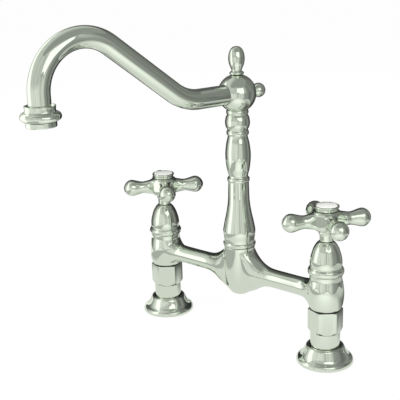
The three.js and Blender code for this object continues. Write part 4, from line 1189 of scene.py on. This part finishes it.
ends = []
for radius in (TUBE_RADIUS, TUBE_INSIDE):
    start = Matrix.Translation(spout_point(TUBE_START, ball_centre))
    circle = bmesh.ops.create_circle(
        bm, segments=TUBE_SIDES, radius=radius * MM,
        matrix=start @ Matrix.Rotation(math.pi / 2, 4, "X"),
    )["verts"]
    loop = list({e for v in circle for e in v.link_edges})
    ends.append(loop)
    loop = straight(loop, spout_point(LEVEL_END - TUBE_START, 0.0))
    loop = bent(loop, spout_point(LEVEL_END, ball_centre + RISE_RADIUS), -RISE_ANGLE)
    along = spout_point(math.cos(RISE_ANGLE), math.sin(RISE_ANGLE)) * slope
    loop = straight(loop, along)
    rise_end = spout_point(
        LEVEL_END + RISE_RADIUS * math.sin(RISE_ANGLE),
        ball_centre + RISE_RADIUS * (1 - math.cos(RISE_ANGLE)),
    )
    inward = spout_point(math.sin(RISE_ANGLE), -math.cos(RISE_ANGLE)) * CROOK_RADIUS
    crook = rise_end + along + inward
    loop = bent(loop, crook, RISE_ANGLE + math.pi / 2)
    loop = straight(loop, Vector((0.0, 0.0, tube_end * MM - crook.z)))
    ends.append(loop)
bmesh.ops.bridge_loops(bm, edges=ends[0] + ends[2])
bmesh.ops.bridge_loops(bm, edges=ends[1] + ends[3])
bmesh.ops.recalc_face_normals(bm, faces=bm.faces)
moved(rotated(bm, spout_angle), middle)
tube_chrome = polished_chrome("tube_chrome", waviness=0.1)
made(bm, "gooseneck", tube_chrome, "spout", ["spout_tube"])

# ---- aerator collar --------------------------------------
# A turned collar, chromed and brazed to the tube's end: a cup with a recessed top, so that a dark
# gap shows round the tube, above a heavy round bead.

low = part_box("aerator_collar")[0]
bm = turned([
    [(11.0, 0.0), (12.9, 0.0)],
    [(13.4, 0.15), (15.5, 0.9), (16.9, 2.4), (17.2, 3.9), (16.8, 5.4), (15.6, 6.8), (14.0, 7.5)],
    [(13.0, 7.9), (12.75, 9.2), (12.9, 11.2), (13.1, 12.3)],
    [(13.0, 12.8), (12.4, 12.8)],
    [(11.8, 12.4)],
    [(11.2, 10.6)],
    [(9.8, 10.6)],
    [(9.8, 4.8)],
    [(7.8, 4.8)],
    [(7.8, 4.2)],
    [(11.0, 4.2)],
    [(11.0, 0.0)],
], foot=low.z, steps=112, ease=0.12)
moved(bm, outlet)
made(bm, "collar_and_bead", column_chrome, "spout", ["aerator_collar"])

# ---- aerator ---------------------------------------------
# A chromed housing screws up into the collar over a rubber washer and holds a white screen with
# seven holes. Two slots in its side take a spanner.

SLOT_WIDTH = 6.6
SLOT_DEPTH = 1.9
SLOT_HEIGHT = 3.5
SLOT_TURN = math.radians(-44)
CUTTER_DEPTH = 3.0
CUTTER_HEIGHT = 6.0
HOUSING_RADIUS = 12.9
finished_as(rubber, "aerator_washer")
finished_as(acetal, "aerator_screen")
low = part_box("aerator_housing")[0]
bm = turned(
    corners(
        (7.6, 0.0), (12.3, 0.0), (HOUSING_RADIUS, 0.6), (HOUSING_RADIUS, 4.4), (10.7, 4.4),
        (10.7, 7.3), (8.8, 7.3), (8.8, 1.2), (7.6, 1.2),
    ),
    foot=low.z, steps=112, ease=0.15,
)
slots = bmesh.new()
for side in (-1, 1):
    out = side * (HOUSING_RADIUS - SLOT_DEPTH + CUTTER_DEPTH / 2)
    cutter_middle = Matrix.Translation(Vector((out, 0, SLOT_HEIGHT - CUTTER_HEIGHT / 2)) * MM)
    cutter_size = Matrix.Diagonal((CUTTER_DEPTH * MM, SLOT_WIDTH * MM, CUTTER_HEIGHT * MM, 1.0))
    bmesh.ops.create_cube(slots, size=1.0, matrix=cutter_middle @ cutter_size)
moved(rotated(slots, SLOT_TURN), (0, 0, low.z))
bm = moved(cut(bm, slots, "DIFFERENCE"), outlet)
made(bm, "aerator_shell", turned_chrome, "spout", ["aerator_housing"])
